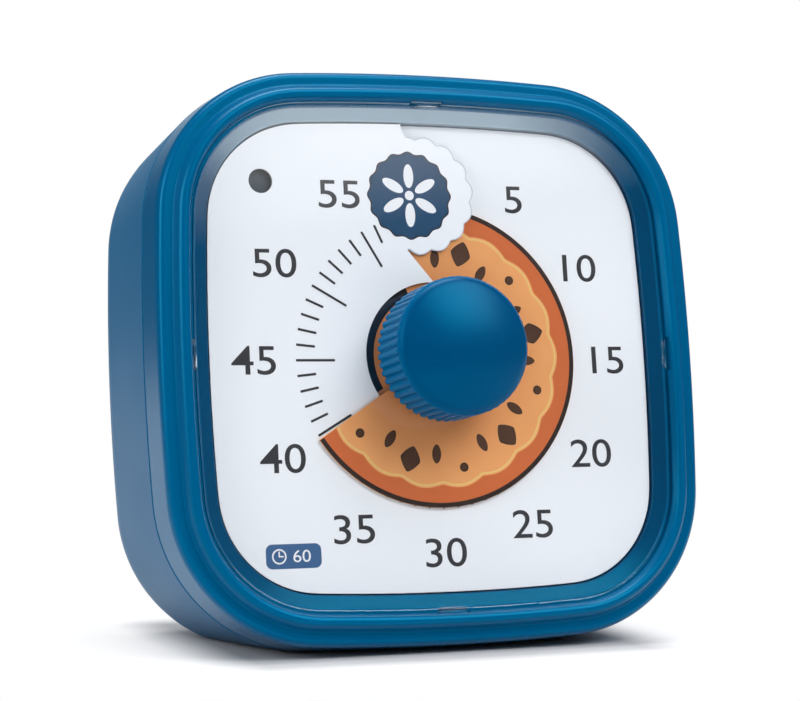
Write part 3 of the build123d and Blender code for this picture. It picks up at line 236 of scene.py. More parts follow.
def turned(profile, x=0.0, y=0.0, steps=72):
    """A closed solid of revolution. A profile that starts and ends on the axis uses a tiny radius there."""
    return skin(round_loops(profile, x, y, np.linspace(0, 2 * math.pi, steps, endpoint=False)))


def bar(radius, z0, z1, x=0.0, y=0.0, soft=0.0, steps=64):
    """A round bar along z, its rims softened by the given length."""
    line = rounded([(0.02, z0, 0), (radius, z0, soft), (radius, z1, soft), (0.02, z1, 0)])
    return turned(line, x, y, steps)


def pad(x0, x1, y0, y1, z0, z1, corner=0.3, soft=0.15, low_soft=None):
    """A plate with rounded corners in plan, and its rims softened. Each corner is an arc of six points."""
    low_soft = soft if low_soft is None else low_soft
    arc = np.linspace(0, math.pi / 2, 6)
    centres = [(x1 - corner, y1 - corner), (x0 + corner, y1 - corner), (x0 + corner, y0 + corner),
               (x1 - corner, y0 + corner)]
    angle = np.concatenate([arc + k * math.pi / 2 for k in range(4)])
    centre = np.repeat(np.array(centres), 6, axis=0)
    normal = np.stack([np.cos(angle), np.sin(angle)], -1)
    heights = [(low_soft, z0), (0.3 * low_soft, z0 + 0.3 * low_soft), (0, z0 + low_soft),
               (0, z1 - soft), (0.3 * soft, z1 - 0.3 * soft), (soft, z1)]
    loops = [np.concatenate([centre + (corner - inset) * normal, np.full((24, 1), z)], 1)
             for inset, z in heights]
    return skin(np.array(loops))


print("outline points:", len(EDGE))

# %% [markdown]
# ## From arrays to objects
# An object can hold several closed solids. Screw wells, slots and openings are cut by a boolean, which
# gives the crisp edges that a milled mould has. Faces are shaded smooth, and edges over a given angle
# stay sharp.

# %% Objects, cuts and riding
def merge(solids):
    """One array of points and one list of faces for several solids."""
    points, faces, count = [], [], 0
    for solid_points, quads, caps in solids:
        points.append(solid_points)
        faces += (quads + count).tolist() + [(np.asarray(cap) + count).tolist() for cap in caps]
        count += len(solid_points)
    return np.concatenate(points), faces


def build(name, solids, sharp=32.0):
    """Mesh object in the finished frame, with its place in its mesh."""
    points, faces = merge(solids)
    mesh = bpy.data.meshes.new(name)
    mesh.from_pydata(to_frame(points).tolist(), [], faces)
    mesh.validate()
    obj = bpy.data.objects.new(name, mesh)
    bpy.context.scene.collection.objects.link(obj)
    mesh.shade_smooth()
    mesh.set_sharp_from_angle(angle=math.radians(sharp))
    return obj


def carve(obj, tool, sharp=32.0):
    """Take solids, or another object, out of an object with an exact boolean. The tool is used up."""
    if isinstance(tool, list):
        tool = build(obj.name + "_tool", tool)
    step = obj.modifiers.new("cut", "BOOLEAN")
    step.operation, step.solver, step.object, step.use_self = "DIFFERENCE", "EXACT", tool, True
    done = bpy.data.meshes.new_from_object(obj.evaluated_get(bpy.context.evaluated_depsgraph_get()))
    obj.modifiers.clear()
    obj.data = done
    done.name = obj.name
    bpy.data.objects.remove(tool)
    done.shade_smooth()
    done.set_sharp_from_angle(angle=math.radians(sharp))
    return obj


def add_solids(obj, name, solids):
    """Join further closed solids to an object."""
    extra = build(name, solids)
    with bpy.context.temp_override(active_object=obj, object=obj, selected_editable_objects=[obj, extra],
                                   selected_objects=[obj, extra]):
        bpy.ops.object.join()


def finish_piece(obj, body, slot, material, *nodes):
    """Give a piece its material, its body and the mechanical nodes that it replaces, which are hidden. The
    slot, its finish's name, is not used.
    """
    obj.data.materials.clear()
    obj.data.materials.append(material)
    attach(obj, body)
    if nodes:
        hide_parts(*nodes)
    print(obj.name, "faces:", len(obj.data.polygons))
    return obj


# %% [markdown]
# ## Shared effects
# Two effects appear in almost every finish, so each is a node group. Moulded plastic has a fine grain
# from the eroded steel of its mould, with gloss that drifts a little from place to place. Handled things
# carry a thin uneven film of dust and finger grease. Both groups read Object coordinates and give out
# only values: a roughness, a height for a Bump node, and a mask.

# %% Node groups
def srgb(red, green, blue):
    """Linear colour of an 8-bit screen colour: (c + 0.055) / 1.055 to the power 2.4, above 0.04045."""
    value = np.array([red, green, blue]) / 255.0
    linear = np.where(value <= 0.04045, value / 12.92, ((value + 0.055) / 1.055) ** 2.4)
    return (*linear.tolist(), 1.0)


def new_group(name, inputs, outputs):
    """Empty node group with float sockets."""
    group = bpy.data.node_groups.new(name, "ShaderNodeTree")
    for label, value in inputs:
        socket = group.interface.new_socket(label, in_out="INPUT", socket_type="NodeSocketFloat")
        socket.default_value = value
    for label in outputs:
        group.interface.new_socket(label, in_out="OUTPUT", socket_type="NodeSocketFloat")
    return group, group.nodes.new("NodeGroupInput"), group.nodes.new("NodeGroupOutput")


def plug(tree, value, socket):
    """Link a socket to an input, or set a plain value on it."""
    if hasattr(value, "links"):
        tree.links.new(value, socket)
    else:
        socket.default_value = value


def maths(tree, operation, *values, kind="Math", result="Value"):
    """Math node on sockets or plain values."""
    node = tree.nodes.new("ShaderNode" + kind)
    node.operation = operation
    for value, socket in zip(values, node.inputs):
        plug(tree, value, socket)
    return node.outputs[result]


def vector_maths(tree, operation, *values, result="Value"):
    """Vector Math node on sockets or plain vectors."""
    return maths(tree, operation, *values, kind="VectorMath", result=result)


def object_place(tree):
    """Object coordinates."""
    return tree.nodes.new("ShaderNodeTexCoord").outputs["Object"]


def surface_normal(tree):
    """Direction that the surface faces."""
    return tree.nodes.new("ShaderNodeNewGeometry").outputs["Normal"]


def split_vector(tree, vector):
    """Sockets X, Y and Z of a vector."""
    node = tree.nodes.new("ShaderNodeSeparateXYZ")
    tree.links.new(vector, node.inputs["Vector"])
    return node.outputs


def mix_shaders(tree, mask, first, second):
    """Mix Shader node: first where the mask is 0, second where it is 1."""
    node = tree.nodes.new("ShaderNodeMixShader")
    for socket, value in zip(node.inputs, (mask, first, second)):
        tree.links.new(value, socket)
    return node.outputs["Shader"]


def noise(tree, vector, scale, detail=2.0):
    """Noise node on the given vector."""
    node = tree.nodes.new("ShaderNodeTexNoise")
    node.inputs["Detail"].default_value = detail
    plug(tree, scale, node.inputs["Scale"])
    tree.links.new(vector, node.inputs["Vector"])
    return node.outputs["Fac"]


def ramp(tree, value, low, high, out_low, out_high):
    """Map Range node: value from low..high to out_low..out_high, held inside."""
    node = tree.nodes.new("ShaderNodeMapRange")
    for name, number in (("From Min", low), ("From Max", high), ("To Min", out_low), ("To Max", out_high)):
        plug(tree, number, node.inputs[name])
    tree.links.new(value, node.inputs["Value"])
    return node.outputs["Result"]


def grain_group():
    """Height from fine noise, and a roughness that drifts between a low and a high value."""
    group, source, sink = new_group("fine_grain", [("Scale", 6000.0), ("Low", 0.3), ("High", 0.4)],
                                    ["Height", "Roughness", "Tone"])
    place = object_place(group)
    fine = noise(group, place, source.outputs["Scale"], 3.0)
    broad = noise(group, place, 45.0, 3.0)
    group.links.new(fine, sink.inputs["Height"])
    group.links.new(ramp(group, broad, 0.15, 0.85, source.outputs["Low"], source.outputs["High"]),
                    sink.inputs["Roughness"])
    group.links.new(ramp(group, broad, 0.15, 0.85, 0.0, 1.0), sink.inputs["Tone"])
    return group


def film_group():
    """Mask of dust and grease: broad patches times fine specks, stronger where a face looks upwards."""
    group, source, sink = new_group("handling_film", [("Amount", 0.2)], ["Mask"])
    place = object_place(group)
    patches = ramp(group, noise(group, place, 70.0, 4.0), 0.45, 0.75, 0.0, 1.0)
    specks = ramp(group, noise(group, place, 1400.0, 2.0), 0.5, 0.8, 0.2, 1.0)
    upward = ramp(group, split_vector(group, surface_normal(group))["Z"], -0.2, 1.0, 0.35, 1.0)
    mask = patches
    for factor in (specks, upward, source.outputs["Amount"]):
        mask = maths(group, "MULTIPLY", mask, factor)
    group.links.new(mask, sink.inputs["Mask"])
    return group


GRAIN, FILM = grain_group(), film_group()


def mix_colour(tree, mask, first, second):
    """Mix node: first where the mask is 0, second where it is 1. Colours or sockets are both taken."""
    node = tree.nodes.new("ShaderNodeMix")
    node.data_type = "RGBA"
    tree.links.new(mask, node.inputs["Factor"])
    plug(tree, first, node.inputs[6])
    plug(tree, second, node.inputs[7])
    return node.outputs[2]


def finish(name, colour, shade=None, rough=(0.3, 0.4), metallic=0.0, scale=6000.0, bump=0.04, film=0.12,
           **fixed):
    """Principled finish: colour drifts towards a shade, gloss drifts, fine bump, and a film of dust."""
    material = bpy.data.materials.new(name)
    material.use_nodes = True
    tree = material.node_tree
    shader = tree.nodes["Principled BSDF"]
    grain = tree.nodes.new("ShaderNodeGroup")
    grain.node_tree = GRAIN
    grain.inputs["Scale"].default_value = scale
    grain.inputs["Low"].default_value, grain.inputs["High"].default_value = rough
    dust = tree.nodes.new("ShaderNodeGroup")
    dust.node_tree = FILM
    dust.inputs["Amount"].default_value = film
    shade = tuple(0.85 * c for c in colour[:3]) + (1.0,) if shade is None else shade
    tone = mix_colour(tree, grain.outputs["Tone"], colour, shade)
    lift = tuple(min(1.0, 0.7 * c + 0.22) for c in colour[:3]) + (1.0,)
    tone = mix_colour(tree, dust.outputs["Mask"], tone, lift)
    tree.links.new(tone, shader.inputs["Base Color"])
    tree.links.new(grain.outputs["Roughness"], shader.inputs["Roughness"])
    shader.inputs["Metallic"].default_value = metallic
    relief = tree.nodes.new("ShaderNodeBump")
    relief.inputs["Strength"].default_value = bump
    relief.inputs["Distance"].default_value = 0.0002
    tree.links.new(grain.outputs["Height"], relief.inputs["Height"])
    tree.links.new(relief.outputs["Normal"], shader.inputs["Normal"])
    for socket, value in fixed.items():
        shader.inputs[socket.replace("_", " ")].default_value = value
    return material


SHEEN = (0.0, 0.62, 1.0, 1.0)  # tint of the blue plastics' highlights
BLUE = finish("case_blue", srgb(0, 90, 136), srgb(0, 86, 130), rough=(0.2, 0.24), scale=9000.0, bump=0.04,
              film=0.0, Specular_IOR_Level=0.5, Specular_Tint=SHEEN)
SATIN_BLUE = finish("satin_blue", srgb(0, 94, 140), srgb(0, 90, 134), rough=(0.34, 0.4), scale=7000.0,
                    bump=0.06, film=0.01, Specular_IOR_Level=0.15, Specular_Tint=SHEEN)
print("node groups:", [group.name for group in bpy.data.node_groups])

# %% [markdown]
# ## Front shell
# The front shell is one injection moulding: a skirt, a rounded shoulder, a groove, a raised bead that
# holds the window, a sloping frame and the floor behind the dial. All of that is one profile, carried
# round the outline. On its way inwards the loops turn from the soft square into the round recess of the
# disc, so the ring and the floor are one surface without a seam.

# %% Front shell: bezel and floor
FLOOR_TOP = -1.3
FLOOR_UNDER = -3.3
RECESS = (24.9, -2.0)    # radius and height of the recess under the disc
SPINDLE_HOLE = 2.06
RIM_ROOF = -0.7          # underside of the hollow rim

bezel = rounded([
    (1.9, PARTING, 0), (0.0, PARTING, 0.25), (0.36, 0.45, 0.55), (0.78, 1.18, 0.3), (1.25, 1.45, 0.22),
    (2.62, 1.4, 0.2), (3.22, 2.72, 0.35), (3.75, 3.3, 0.45), (4.75, 3.2, 0.5), (5.35, 1.95, 0.2),
    (5.35, LENS_BOTTOM, 0.08), (6.1, LENS_BOTTOM, 0.15), (8.15, 0.15, 0.15), (8.15, FLOOR_TOP, 0),
], steps=6)
outer_loops = carried(bezel)


def floor_circle(radius, height):
    """A circle whose points lie in the same directions as the points of the case's outline."""
    loop = np.stack([radius * np.cos(EDGE_ANGLE), radius * np.sin(EDGE_ANGLE),
                     np.full(len(EDGE_ANGLE), height)], -1)
    return loop[None]


front = np.concatenate([
    outer_loops, floor_circle(RECESS[0], FLOOR_TOP), floor_circle(*RECESS),
    floor_circle(SPINDLE_HOLE, RECESS[1]), floor_circle(SPINDLE_HOLE, FLOOR_UNDER),
    floor_circle(RECESS[0], FLOOR_UNDER),
    carried([(6.4, FLOOR_UNDER), (6.4, RIM_ROOF), (1.9, RIM_ROOF)]),
])
front_shell = build("front_shell", [skin(front, ring=True)])


def sole_height(z, depth=0.0):
    """y of a plane at a depth inside the sole = SOLE_Y - (z - parting) tan(lean) + depth / cos(lean)."""
    return SOLE_Y - (z - PARTING) * math.tan(LEAN) + depth / math.cos(LEAN)


def above_sole(loops, depth):
    """Lift what lies lower than a depth inside the sole."""
    loops[..., 1] = np.maximum(loops[..., 1], sole_height(loops[..., 2], depth))


def under_sole(front_z=10.0, back=-60.0):
    """Everything below the sole, as a wedge."""
    z = np.array([front_z, back])
    y = sole_height(z)
    corners = [(-70, y[0], z[0]), (70, y[0], z[0]), (70, y[1], z[1]), (-70, y[1], z[1])]
    low = [(x, -80.0, z_) for x, _, z_ in corners]
    return skin(np.array([low, corners]))


def on_four_sides(solid):
    """A solid drawn at the right-hand side, and its copies turned by 90, 180 and 270 degrees."""
    points, quads, caps = solid
    quarter = np.array([[0.0, 1.0, 0.0], [-1.0, 0.0, 0.0], [0.0, 0.0, 1.0]])
    return [(points @ np.linalg.matrix_power(quarter, k), quads, caps) for k in range(4)]


pockets = on_four_sides(pad(38.0, 39.95, -2.7, 2.7, LENS_BOTTOM, 2.55, corner=0.25, soft=0.1))
lamp_hole = bar(1.9, -2.6, 0.5, *LAMP)
carve(front_shell, [under_sole()] + pockets + [lamp_hole, bar(1.6, -4.0, -2.0, *LAMP)])
print("bezel rows:", len(outer_loops))

# %% [markdown]
# The hidden side of the floor carries the screw posts, the lamp's tube and the pads of the movement. They
# are plain turned bosses that run into the floor.

# %% Front shell: bosses
def sleeve(outer, inner, z0, z1, x, y, steps=48):
    """A tube along z."""
    line = np.array([(outer, z0), (outer, z1), (inner, z1), (inner, z0)])
    return skin(round_loops(line, x, y, np.linspace(0, 2 * math.pi, steps, endpoint=False)), ring=True)


SCREW_PLACES = [(31.5, 31.5), (-31.5, 31.5), (-31.5, -31.5), (31.5, -31.5)]
bosses = [sleeve(3.0, 1.22, -9.0, -3.25, x, y) for x, y in SCREW_PLACES]
bosses.append(sleeve(2.7, 1.6, -8.0, -3.25, *LAMP))
add_solids(front_shell, "front_bosses", bosses)
finish_piece(front_shell, "case", "case_blue", BLUE, "front_case")

# %% [markdown]
# ## Rear shell
# The rear shell is a deep drafted box with a large rounding at its back. The outside is one carried
# profile. The hollow is the same shape, two millimetres in, held above the sole so that the flat under
# side keeps its wall. Posts and bay walls are taken out of the hollow before the hollow is taken out of
# the shell, so they stay standing as plastic.

# %% Rear shell: outside and hollow
def back_profile(inset, rim, back, rounding, steps=14):
    """Insets grow by tan(draft) with depth, then follow a quarter arc onto the back, then run inwards."""
    depth_straight = rim - (back + rounding)
    arc = np.linspace(DRAFT, math.pi / 2, steps)
    start = inset + depth_straight * math.tan(DRAFT)
    inset_arc = start + rounding * (math.cos(DRAFT) - np.cos(arc))
    z_arc = back + rounding * (1 - np.sin(arc))
    end = inset_arc[-1]
    line = [(inset, rim)] + list(zip(inset_arc, z_arc)) + [(end + 4, back), (end + 8, back)]
    return np.array(line)


REAR_RIM = -6.4
outside = back_profile(0.0, REAR_RIM, BACK, BACK_ROUND)
first_bend, slope = outside[1], math.tan(DRAFT)
rim_edge = [(0.5, REAR_RIM), (0.12, REAR_RIM - 0.04), (0.0, REAR_RIM - 0.2), (0.3 * slope, REAR_RIM - 0.5)]
straight_end = first_bend + 0.3 * np.array([-slope, 1.0])
outside = np.concatenate([rim_edge, [straight_end], outside[1:]])
rear_shell = build("rear_shell", [skin(carried(outside))])

hollow_loops = carried(back_profile(WALL, REAR_RIM + 1.0, BACK + 1.6, BACK_ROUND - WALL))
above_sole(hollow_loops, WALL)
hollow = build("hollow", [skin(hollow_loops)])

INNER_BACK = BACK + 1.6
posts = [bar(3.6, BACK + 0.5, -9.05, x, y) for x, y in SCREW_PLACES]
posts += [bar(2.2, INNER_BACK - 0.5, -34.0, 12 + x, 12 + y)
          for x, y in ((18, 10), (-18, 10), (-18, -10), (18, -10))]
seat = sleeve(9.6, 8.55, INNER_BACK - 0.5, INNER_BACK + 2.0, -20.0, 11.0)
rails = [pad(5.2, 18.8, y - 0.5, y + 0.5, INNER_BACK - 0.5, INNER_BACK + 1.2, 0.2, 0.1)
         for y in (4.3, 11.7)]
walls = [pad(-29.2, 29.2, y - 0.6, y + 0.6, INNER_BACK - 0.5, INNER_BACK + 14, 0.2, 0.1)
         for y in (-25.9, -8.1)]
walls += [pad(x - 0.6, x + 0.6, -26.5, -7.5, INNER_BACK - 0.5, INNER_BACK + 14, 0.2, 0.1)
          for x in (-28.6, 28.6)]
carve(hollow, posts)
carve(hollow, [seat] + rails)
carve(hollow, walls)
carve(rear_shell, hollow)
print("rear shell faces after hollowing:", len(rear_shell.data.polygons))

# %% [markdown]
# The openings of the back: four screw wells, the battery door's frame, the slot of the volume slider, a
# rosette of sound holes, and the round sockets of the rubber feet in the sole.

# %% Rear shell: openings
wells = [bar(2.6, BACK - 3, -13.0, x, y) for x, y in SCREW_PLACES]
screw_holes = [bar(1.25, -14.0, -8.0, x, y, steps=32) for x, y in SCREW_PLACES]
DOOR = (-29.1, 29.1, -25.8, -8.2)
door_frame = pad(DOOR[0] - 0.25, DOOR[1] + 0.25, DOOR[2] - 0.25, DOOR[3] + 0.25, BACK - 1, INNER_BACK + 0.15,
                 0.9, 0.05)
notches = [pad(x - 2.9, x + 2.9, DOOR[2] - 4.2, DOOR[2] + 4, INNER_BACK, INNER_BACK + 3.2, 0.2, 0.05)
           for x in (-18.0, 18.0)]
slot = pad(12 - 4.8, 12 + 4.8, 8 - 1.8, 8 + 1.8, BACK - 1, INNER_BACK + 0.01, 0.5, 0.01)
sound_holes = [bar(0.8, BACK - 1, INNER_BACK + 0.01, -20 + ring * math.cos(2 * math.pi * k / count),
                   11 + ring * math.sin(2 * math.pi * k / count), steps=24)
               for ring, count in ((0.0, 1), (2.6, 6), (5.2, 12)) for k in range(count)]


def square_to_sole(solid, x, z):
    """Turn a solid drawn along z so that z is square to the sole, and set it at x and bench height z."""
    points, quads, caps = solid
    along = (PARTING - z) / math.cos(LEAN)
    up = np.array([0.0, math.cos(LEAN), math.sin(LEAN)])
    rearward = np.array([0.0, math.sin(LEAN), -math.cos(LEAN)])
    base = np.array([x, SOLE_Y, PARTING]) + along * rearward
    placed = base + points[:, :1] * np.array([1.0, 0, 0]) + points[:, 1:2] * rearward + points[:, 2:] * up
    return outward(placed, quads, caps)


FEET = [(20, -11), (-20, -11), (20, -30), (-20, -30)]
sockets = [square_to_sole(bar(4.1, -2.0, 1.0), x, z) for x, z in FEET]
carve(rear_shell, [under_sole(front_z=-3.0)])
carve(rear_shell, wells + [door_frame, slot] + sound_holes + sockets)
carve(rear_shell, screw_holes + notches)
tongue = carried(rounded([(1.0, REAR_RIM - 0.06, 0), (2.1, REAR_RIM - 0.06, 0), (2.1, REAR_RIM + 1.5, 0.3),
                          (3.2, REAR_RIM + 1.5, 0.3), (3.2, REAR_RIM - 2.5, 0), (1.0, REAR_RIM - 2.5, 0)], 3))
above_sole(tongue, 1.0)
add_solids(rear_shell, "tongue", [skin(tongue, ring=True)])
finish_piece(rear_shell, "case", "case_blue", SATIN_BLUE, "rear_case")

# %% [markdown]
# ## Printed dial
# The dial is a thin plastic sheet that climbs by one millimetre in a full turn, like one turn of a screw.
# That is what lets the disc slide out over its low side and back under its high side. The sheet is made
# with 35 degrees of overlap at 12 o'clock, and one cut line trims both ends: what lies left of the line is
# taken off the low end, and what lies right of it is taken off the high end. The line runs up from the
# hub's hole, round the scalloped side of a flap, and on to the rim, as a die cuts it.

# %% The cut and the wound sheet
FLAP = (-1.7, 25.3)      # middle of the round flap
FLAP_RADIUS = 9.2
OVERLAP = 35.0           # degrees


def flap_cut(steps=220):
    """Cut line. Distance from the flap's middle = radius (0.96 + 0.07 |sin 7.5 t|), which gives round
    scallops that meet in small valleys."""
    t = np.radians(np.linspace(194, -10, steps))
    reach = FLAP_RADIUS * (0.96 + 0.07 * np.abs(np.sin(7.5 * t)))
    scallops = np.stack([FLAP[0] + reach * np.sin(t), FLAP[1] + reach * np.cos(t)], -1)
    return np.concatenate([[(2.6, 7.0), (0.5, 11.2)], scallops, [(-4.0, 36.0), (-4.0, 42.0)]])


def beside_cut(side, z0, z1):
    """Prism of everything on one side of the cut line, between two heights."""
    outline = np.concatenate([flap_cut(), [(side * 50.0, 42.0), (side * 50.0, 7.0)]])
    return skin(np.array([np.column_stack([outline, np.full(len(outline), z)]) for z in (z0, z1)]))


def dial_reach(clockwise):
    """Distance from the axis to the sheet's outer edge, in the direction of a clockwise angle."""
    edge = EDGE - (HALF - DIAL_HALF) * EDGE_NORMAL
    bearing = np.degrees(np.arctan2(edge[:, 0], edge[:, 1])) % 360
    order = np.argsort(bearing)
    return np.interp(clockwise % 360, bearing[order], np.hypot(edge[:, 0], edge[:, 1])[order], period=360)


def wound(angle, distance, start):
    """Points at clockwise angles and distances. Height = start + pitch times turns."""
    turn = np.radians(angle)
    return np.stack([distance * np.sin(turn), distance * np.cos(turn), start + PITCH * angle / 360], -1)


spokes = np.linspace(-OVERLAP, 360 + OVERLAP, 345)
angle, share = np.meshgrid(spokes, np.linspace(0, 1, 9))
distance = HUB_HOLE + share * (dial_reach(angle) - HUB_HOLE)
dial = build("printed_dial", [sheet(wound(angle, distance, DIAL_START), SHEET)], sharp=25)
between = DIAL_START + PITCH / 2
carve(dial, [beside_cut(-1, between - 3, between)], sharp=25)
carve(dial, [beside_cut(1, between, between + 3)], sharp=25)
carve(dial, [bar(1.9, -3, 3, *LAMP)], sharp=25)
print("dial sheet grid:", angle.shape)

# %% [markdown]
# ## Finishes of the printed sheets
# A printed sheet is semi-matt, with a very fine tooth. The inks differ from it in gloss, so each ink has
# its own finish. The disc's print is airbrushed: paler near the middle and deeper towards the rim. That
# is a ring pattern, read in bench millimetres through a Mapping node.

# %% Sheet and ink finishes
def ink(name, colour, shade, rough=(0.3, 0.42)):
    """Printing ink: almost matt, with a tooth finer than the sheet's."""
    return finish(name, srgb(*colour), srgb(*shade), rough=rough, scale=15000.0, bump=0.05, film=0.01,
                  Specular_IOR_Level=0.07)


CARD = finish("dial_white", srgb(235, 239, 244), srgb(232, 237, 243), rough=(0.45, 0.55), scale=12000.0,
              bump=0.02, film=0.0, Specular_IOR_Level=0.07)
# Grey of the painted shadow line round the flap.
FLAP_SHADOW_INK = ink("painted_flap_shadow", (188, 196, 205), (178, 187, 197))
INK = ink("charcoal_ink", (56, 57, 61), (62, 62, 66))
BLUE_INK = ink("blue_ink", (70, 104, 146), (64, 97, 138))
NAVY_INK = ink("navy_ink", (40, 76, 108), (34, 67, 98))
WHITE_INK = ink("white_ink", (234, 237, 241), (228, 232, 237), (0.35, 0.45))
BLACK_INK = ink("black_ink", (24, 24, 27), (30, 30, 33))
DARK_INK = ink("dark_outline_ink", (48, 40, 37), (56, 47, 43))
BROWN_INK = ink("brown_ink", (86, 61, 48), (74, 51, 40))
RUST_INK = ink("rust_ink", (204, 110, 66), (196, 101, 57), (0.38, 0.48))
STRAW_INK = ink("straw_ink", (232, 196, 124), (226, 186, 113), (0.38, 0.48))


def bench_place(tree):
    """Object coordinates turned into bench millimetres by one Mapping node."""
    mapping = tree.nodes.new("ShaderNodeMapping")
    mapping.vector_type = "TEXTURE"
    mapping.inputs["Location"].default_value = axis_point.tolist()
    mapping.inputs["Rotation"].default_value = (math.pi / 2 - LEAN, 0, 0)
    mapping.inputs["Scale"].default_value = (0.001, 0.001, 0.001)
    tree.links.new(object_place(tree), mapping.inputs["Vector"])
    return mapping.outputs["Vector"]


def frame_tones(material):
    """Painted shade and a painted reflection on the slope between window and dial, which faces the middle of
    the dial.
    Painted shade: mask = (below the window) * (normal points to the middle), a deeper blue for the shade in
    the recess.
    Painted reflection: mask = shade * (normal points down) * (upper part) * (not to the right), a pale tone
    for light mirrored by the slope."""
    tree = material.node_tree
    colour = tree.nodes["Principled BSDF"].inputs["Base Color"]
    normal = surface_normal(tree)
    place = split_vector(tree, bench_place(tree))
    across = vector_maths(tree, "DOT_PRODUCT", normal, (1.0, 0.0, 0.0))
    up = vector_maths(tree, "DOT_PRODUCT", normal, (0.0, math.sin(LEAN), math.cos(LEAN)))
    outward_part = maths(tree, "ADD", maths(tree, "MULTIPLY", across, place["X"]),
                         maths(tree, "MULTIPLY", up, place["Y"]))
    shade = maths(tree, "MULTIPLY", ramp(tree, outward_part, -16.0, -8.0, 1.0, 0.0),
                  ramp(tree, place["Z"], 1.7, 1.9, 1.0, 0.0))
    dull_haze_and_painted_reflection = shade
    for limit in (ramp(tree, up, -0.5, -0.15, 0.85, 0.0), ramp(tree, place["Y"], 22.0, 32.0, 0.0, 1.0),
                  ramp(tree, place["X"], 14.0, 33.0, 1.0, 0.0)):
        dull_haze_and_painted_reflection = maths(tree, "MULTIPLY", dull_haze_and_painted_reflection, limit)
    # Painted shade: a deeper blue under the window. Painted reflection: a pale tone laid over it on the upper
    # slope.
    deep = mix_colour(tree, shade, colour.links[0].from_socket, srgb(0, 64, 102))
    tree.links.new(mix_colour(tree, dull_haze_and_painted_reflection, deep, srgb(178, 196, 206)), colour)


frame_tones(BLUE)


def disc_finish():
    """Orange print that deepens from the hub to the rim, with soft mottling."""
    material = finish("disc_orange", srgb(234, 166, 106), rough=(0.4, 0.5), scale=9000.0, bump=0.05,
                      film=0.01, Specular_IOR_Level=0.07)
    tree = material.node_tree
    shader = tree.nodes["Principled BSDF"]
    place = split_vector(tree, bench_place(tree))
    flat = tree.nodes.new("ShaderNodeCombineXYZ")
    for axis in "XY":
        tree.links.new(place[axis], flat.inputs[axis])
    distance = vector_maths(tree, "LENGTH", flat.outputs["Vector"])
    depth = ramp(tree, distance, 9.0, 21.0, 1.0, 0.0)
    tone = mix_colour(tree, depth, srgb(236, 168, 108), srgb(214, 138, 84))
    mottle = ramp(tree, noise(tree, flat.outputs["Vector"], 0.35, 4.0), 0.35, 0.7, 0.0, 0.35)
    tone = mix_colour(tree, mottle, tone, srgb(222, 148, 92))
    tree.links.new(tone, shader.inputs["Base Color"])
    return material


ORANGE = disc_finish()
finish_piece(dial, "case", "printed_card", CARD, "dial_card")

# %% [markdown]
# ## Ticks and numbers
# Ink has a thickness of a few hundredths of a millimetre, so each mark is a very thin closed slab that
# follows the climbing sheet. Ticks are narrow sheets. Numbers start as text, become meshes, and are then
# lifted onto the sheet by the same height rule.

# %% Marks on the dial
INK_RISE = 0.02
INK_SINK = 0.03  # a mark reaches this far into its sheet, so no gap shows under it


def printed(name, solids, material, body="case", slot="printed_card"):
    """Build a printed piece and finish it."""
    return finish_piece(build(name, solids), body, slot, material)


def print_height(x, y, start, high_side=False):
    """Height of a wound sheet under a point: start + pitch times the clockwise turn from 12 o'clock."""
    turn = np.degrees(np.arctan2(x, y)) % 360
    turn = np.where(high_side & (turn < 90), turn + 360, turn)
    return start + PITCH * turn / 360


def slab_on(points, start, high_side=False, rise=INK_RISE):
    """Thin prism over a closed outline, sunk a little into the sheet and standing proud of it."""
    points = np.asarray(points, float)
    height = print_height(points[:, 0], points[:, 1], start, high_side)
    low = np.column_stack([points, height - INK_SINK])
    top = np.column_stack([points, height + rise])
    return skin(np.array([low, top]))


def tick(minute):
    """A bar along a spoke of the print's own centre."""
    turn = math.radians(6 * minute)
    inner = 16.8 if minute % 5 == 0 else 20.07
    half_width = 0.19
    along = np.array([math.sin(turn), math.cos(turn)])
    side = np.array([along[1], -along[0]]) * half_width
    ends = [PRINT + inner * along, PRINT + 23.1 * along]
    return slab_on([ends[0] - side, ends[1] - side, ends[1] + side, ends[0] + side], DIAL_START)


printed("minute_ticks", [tick(minute) for minute in range(1, 57)], INK)


def lettering(name, text, size, places, start, weight=0.0, stretch=1.0, high_side=False):
    """Text objects made into meshes, centred on their places, and lifted onto the sheet."""
    shapes = []
    for word, (x, y) in zip(text, places):
        curve = bpy.data.curves.new(name, "FONT")
        curve.body = word
        curve.size = size
        curve.align_x, curve.align_y = "CENTER", "CENTER"
        curve.extrude = 0.5
        curve.offset = weight
        curve.resolution_u = 8
        holder = bpy.data.objects.new(name, curve)
        bpy.context.scene.collection.objects.link(holder)
        mesh = bpy.data.meshes.new_from_object(holder)
        bpy.data.objects.remove(holder)
        solid = bmesh.new()
        solid.from_mesh(mesh)
        bmesh.ops.remove_doubles(solid, verts=solid.verts, dist=1e-5)
        solid.to_mesh(mesh)
        solid.free()
        points = np.zeros(len(mesh.vertices) * 3)
        mesh.vertices.foreach_get("co", points)
        points = points.reshape(-1, 3)
        middle = (points.max(0) + points.min(0)) / 2
        points[:, 0] = (points[:, 0] - middle[0]) * stretch + x
        points[:, 1] += y - middle[1]
        height = print_height(points[:, 0], points[:, 1], start, high_side)
        points[:, 2] = height + np.where(points[:, 2] > 0, INK_RISE, -INK_SINK)
        mesh.vertices.foreach_set("co", to_frame(points).ravel())
        mesh.update()
        shapes.append(mesh)
    joined = bmesh.new()
    for mesh in shapes:
        joined.from_mesh(mesh)
        bpy.data.meshes.remove(mesh)
    bmesh.ops.recalc_face_normals(joined, faces=joined.faces)
    done = bpy.data.meshes.new(name)
    joined.to_mesh(done)
    joined.free()
    obj = bpy.data.objects.new(name, done)
    bpy.context.scene.collection.objects.link(obj)
    done.shade_flat()
    return obj


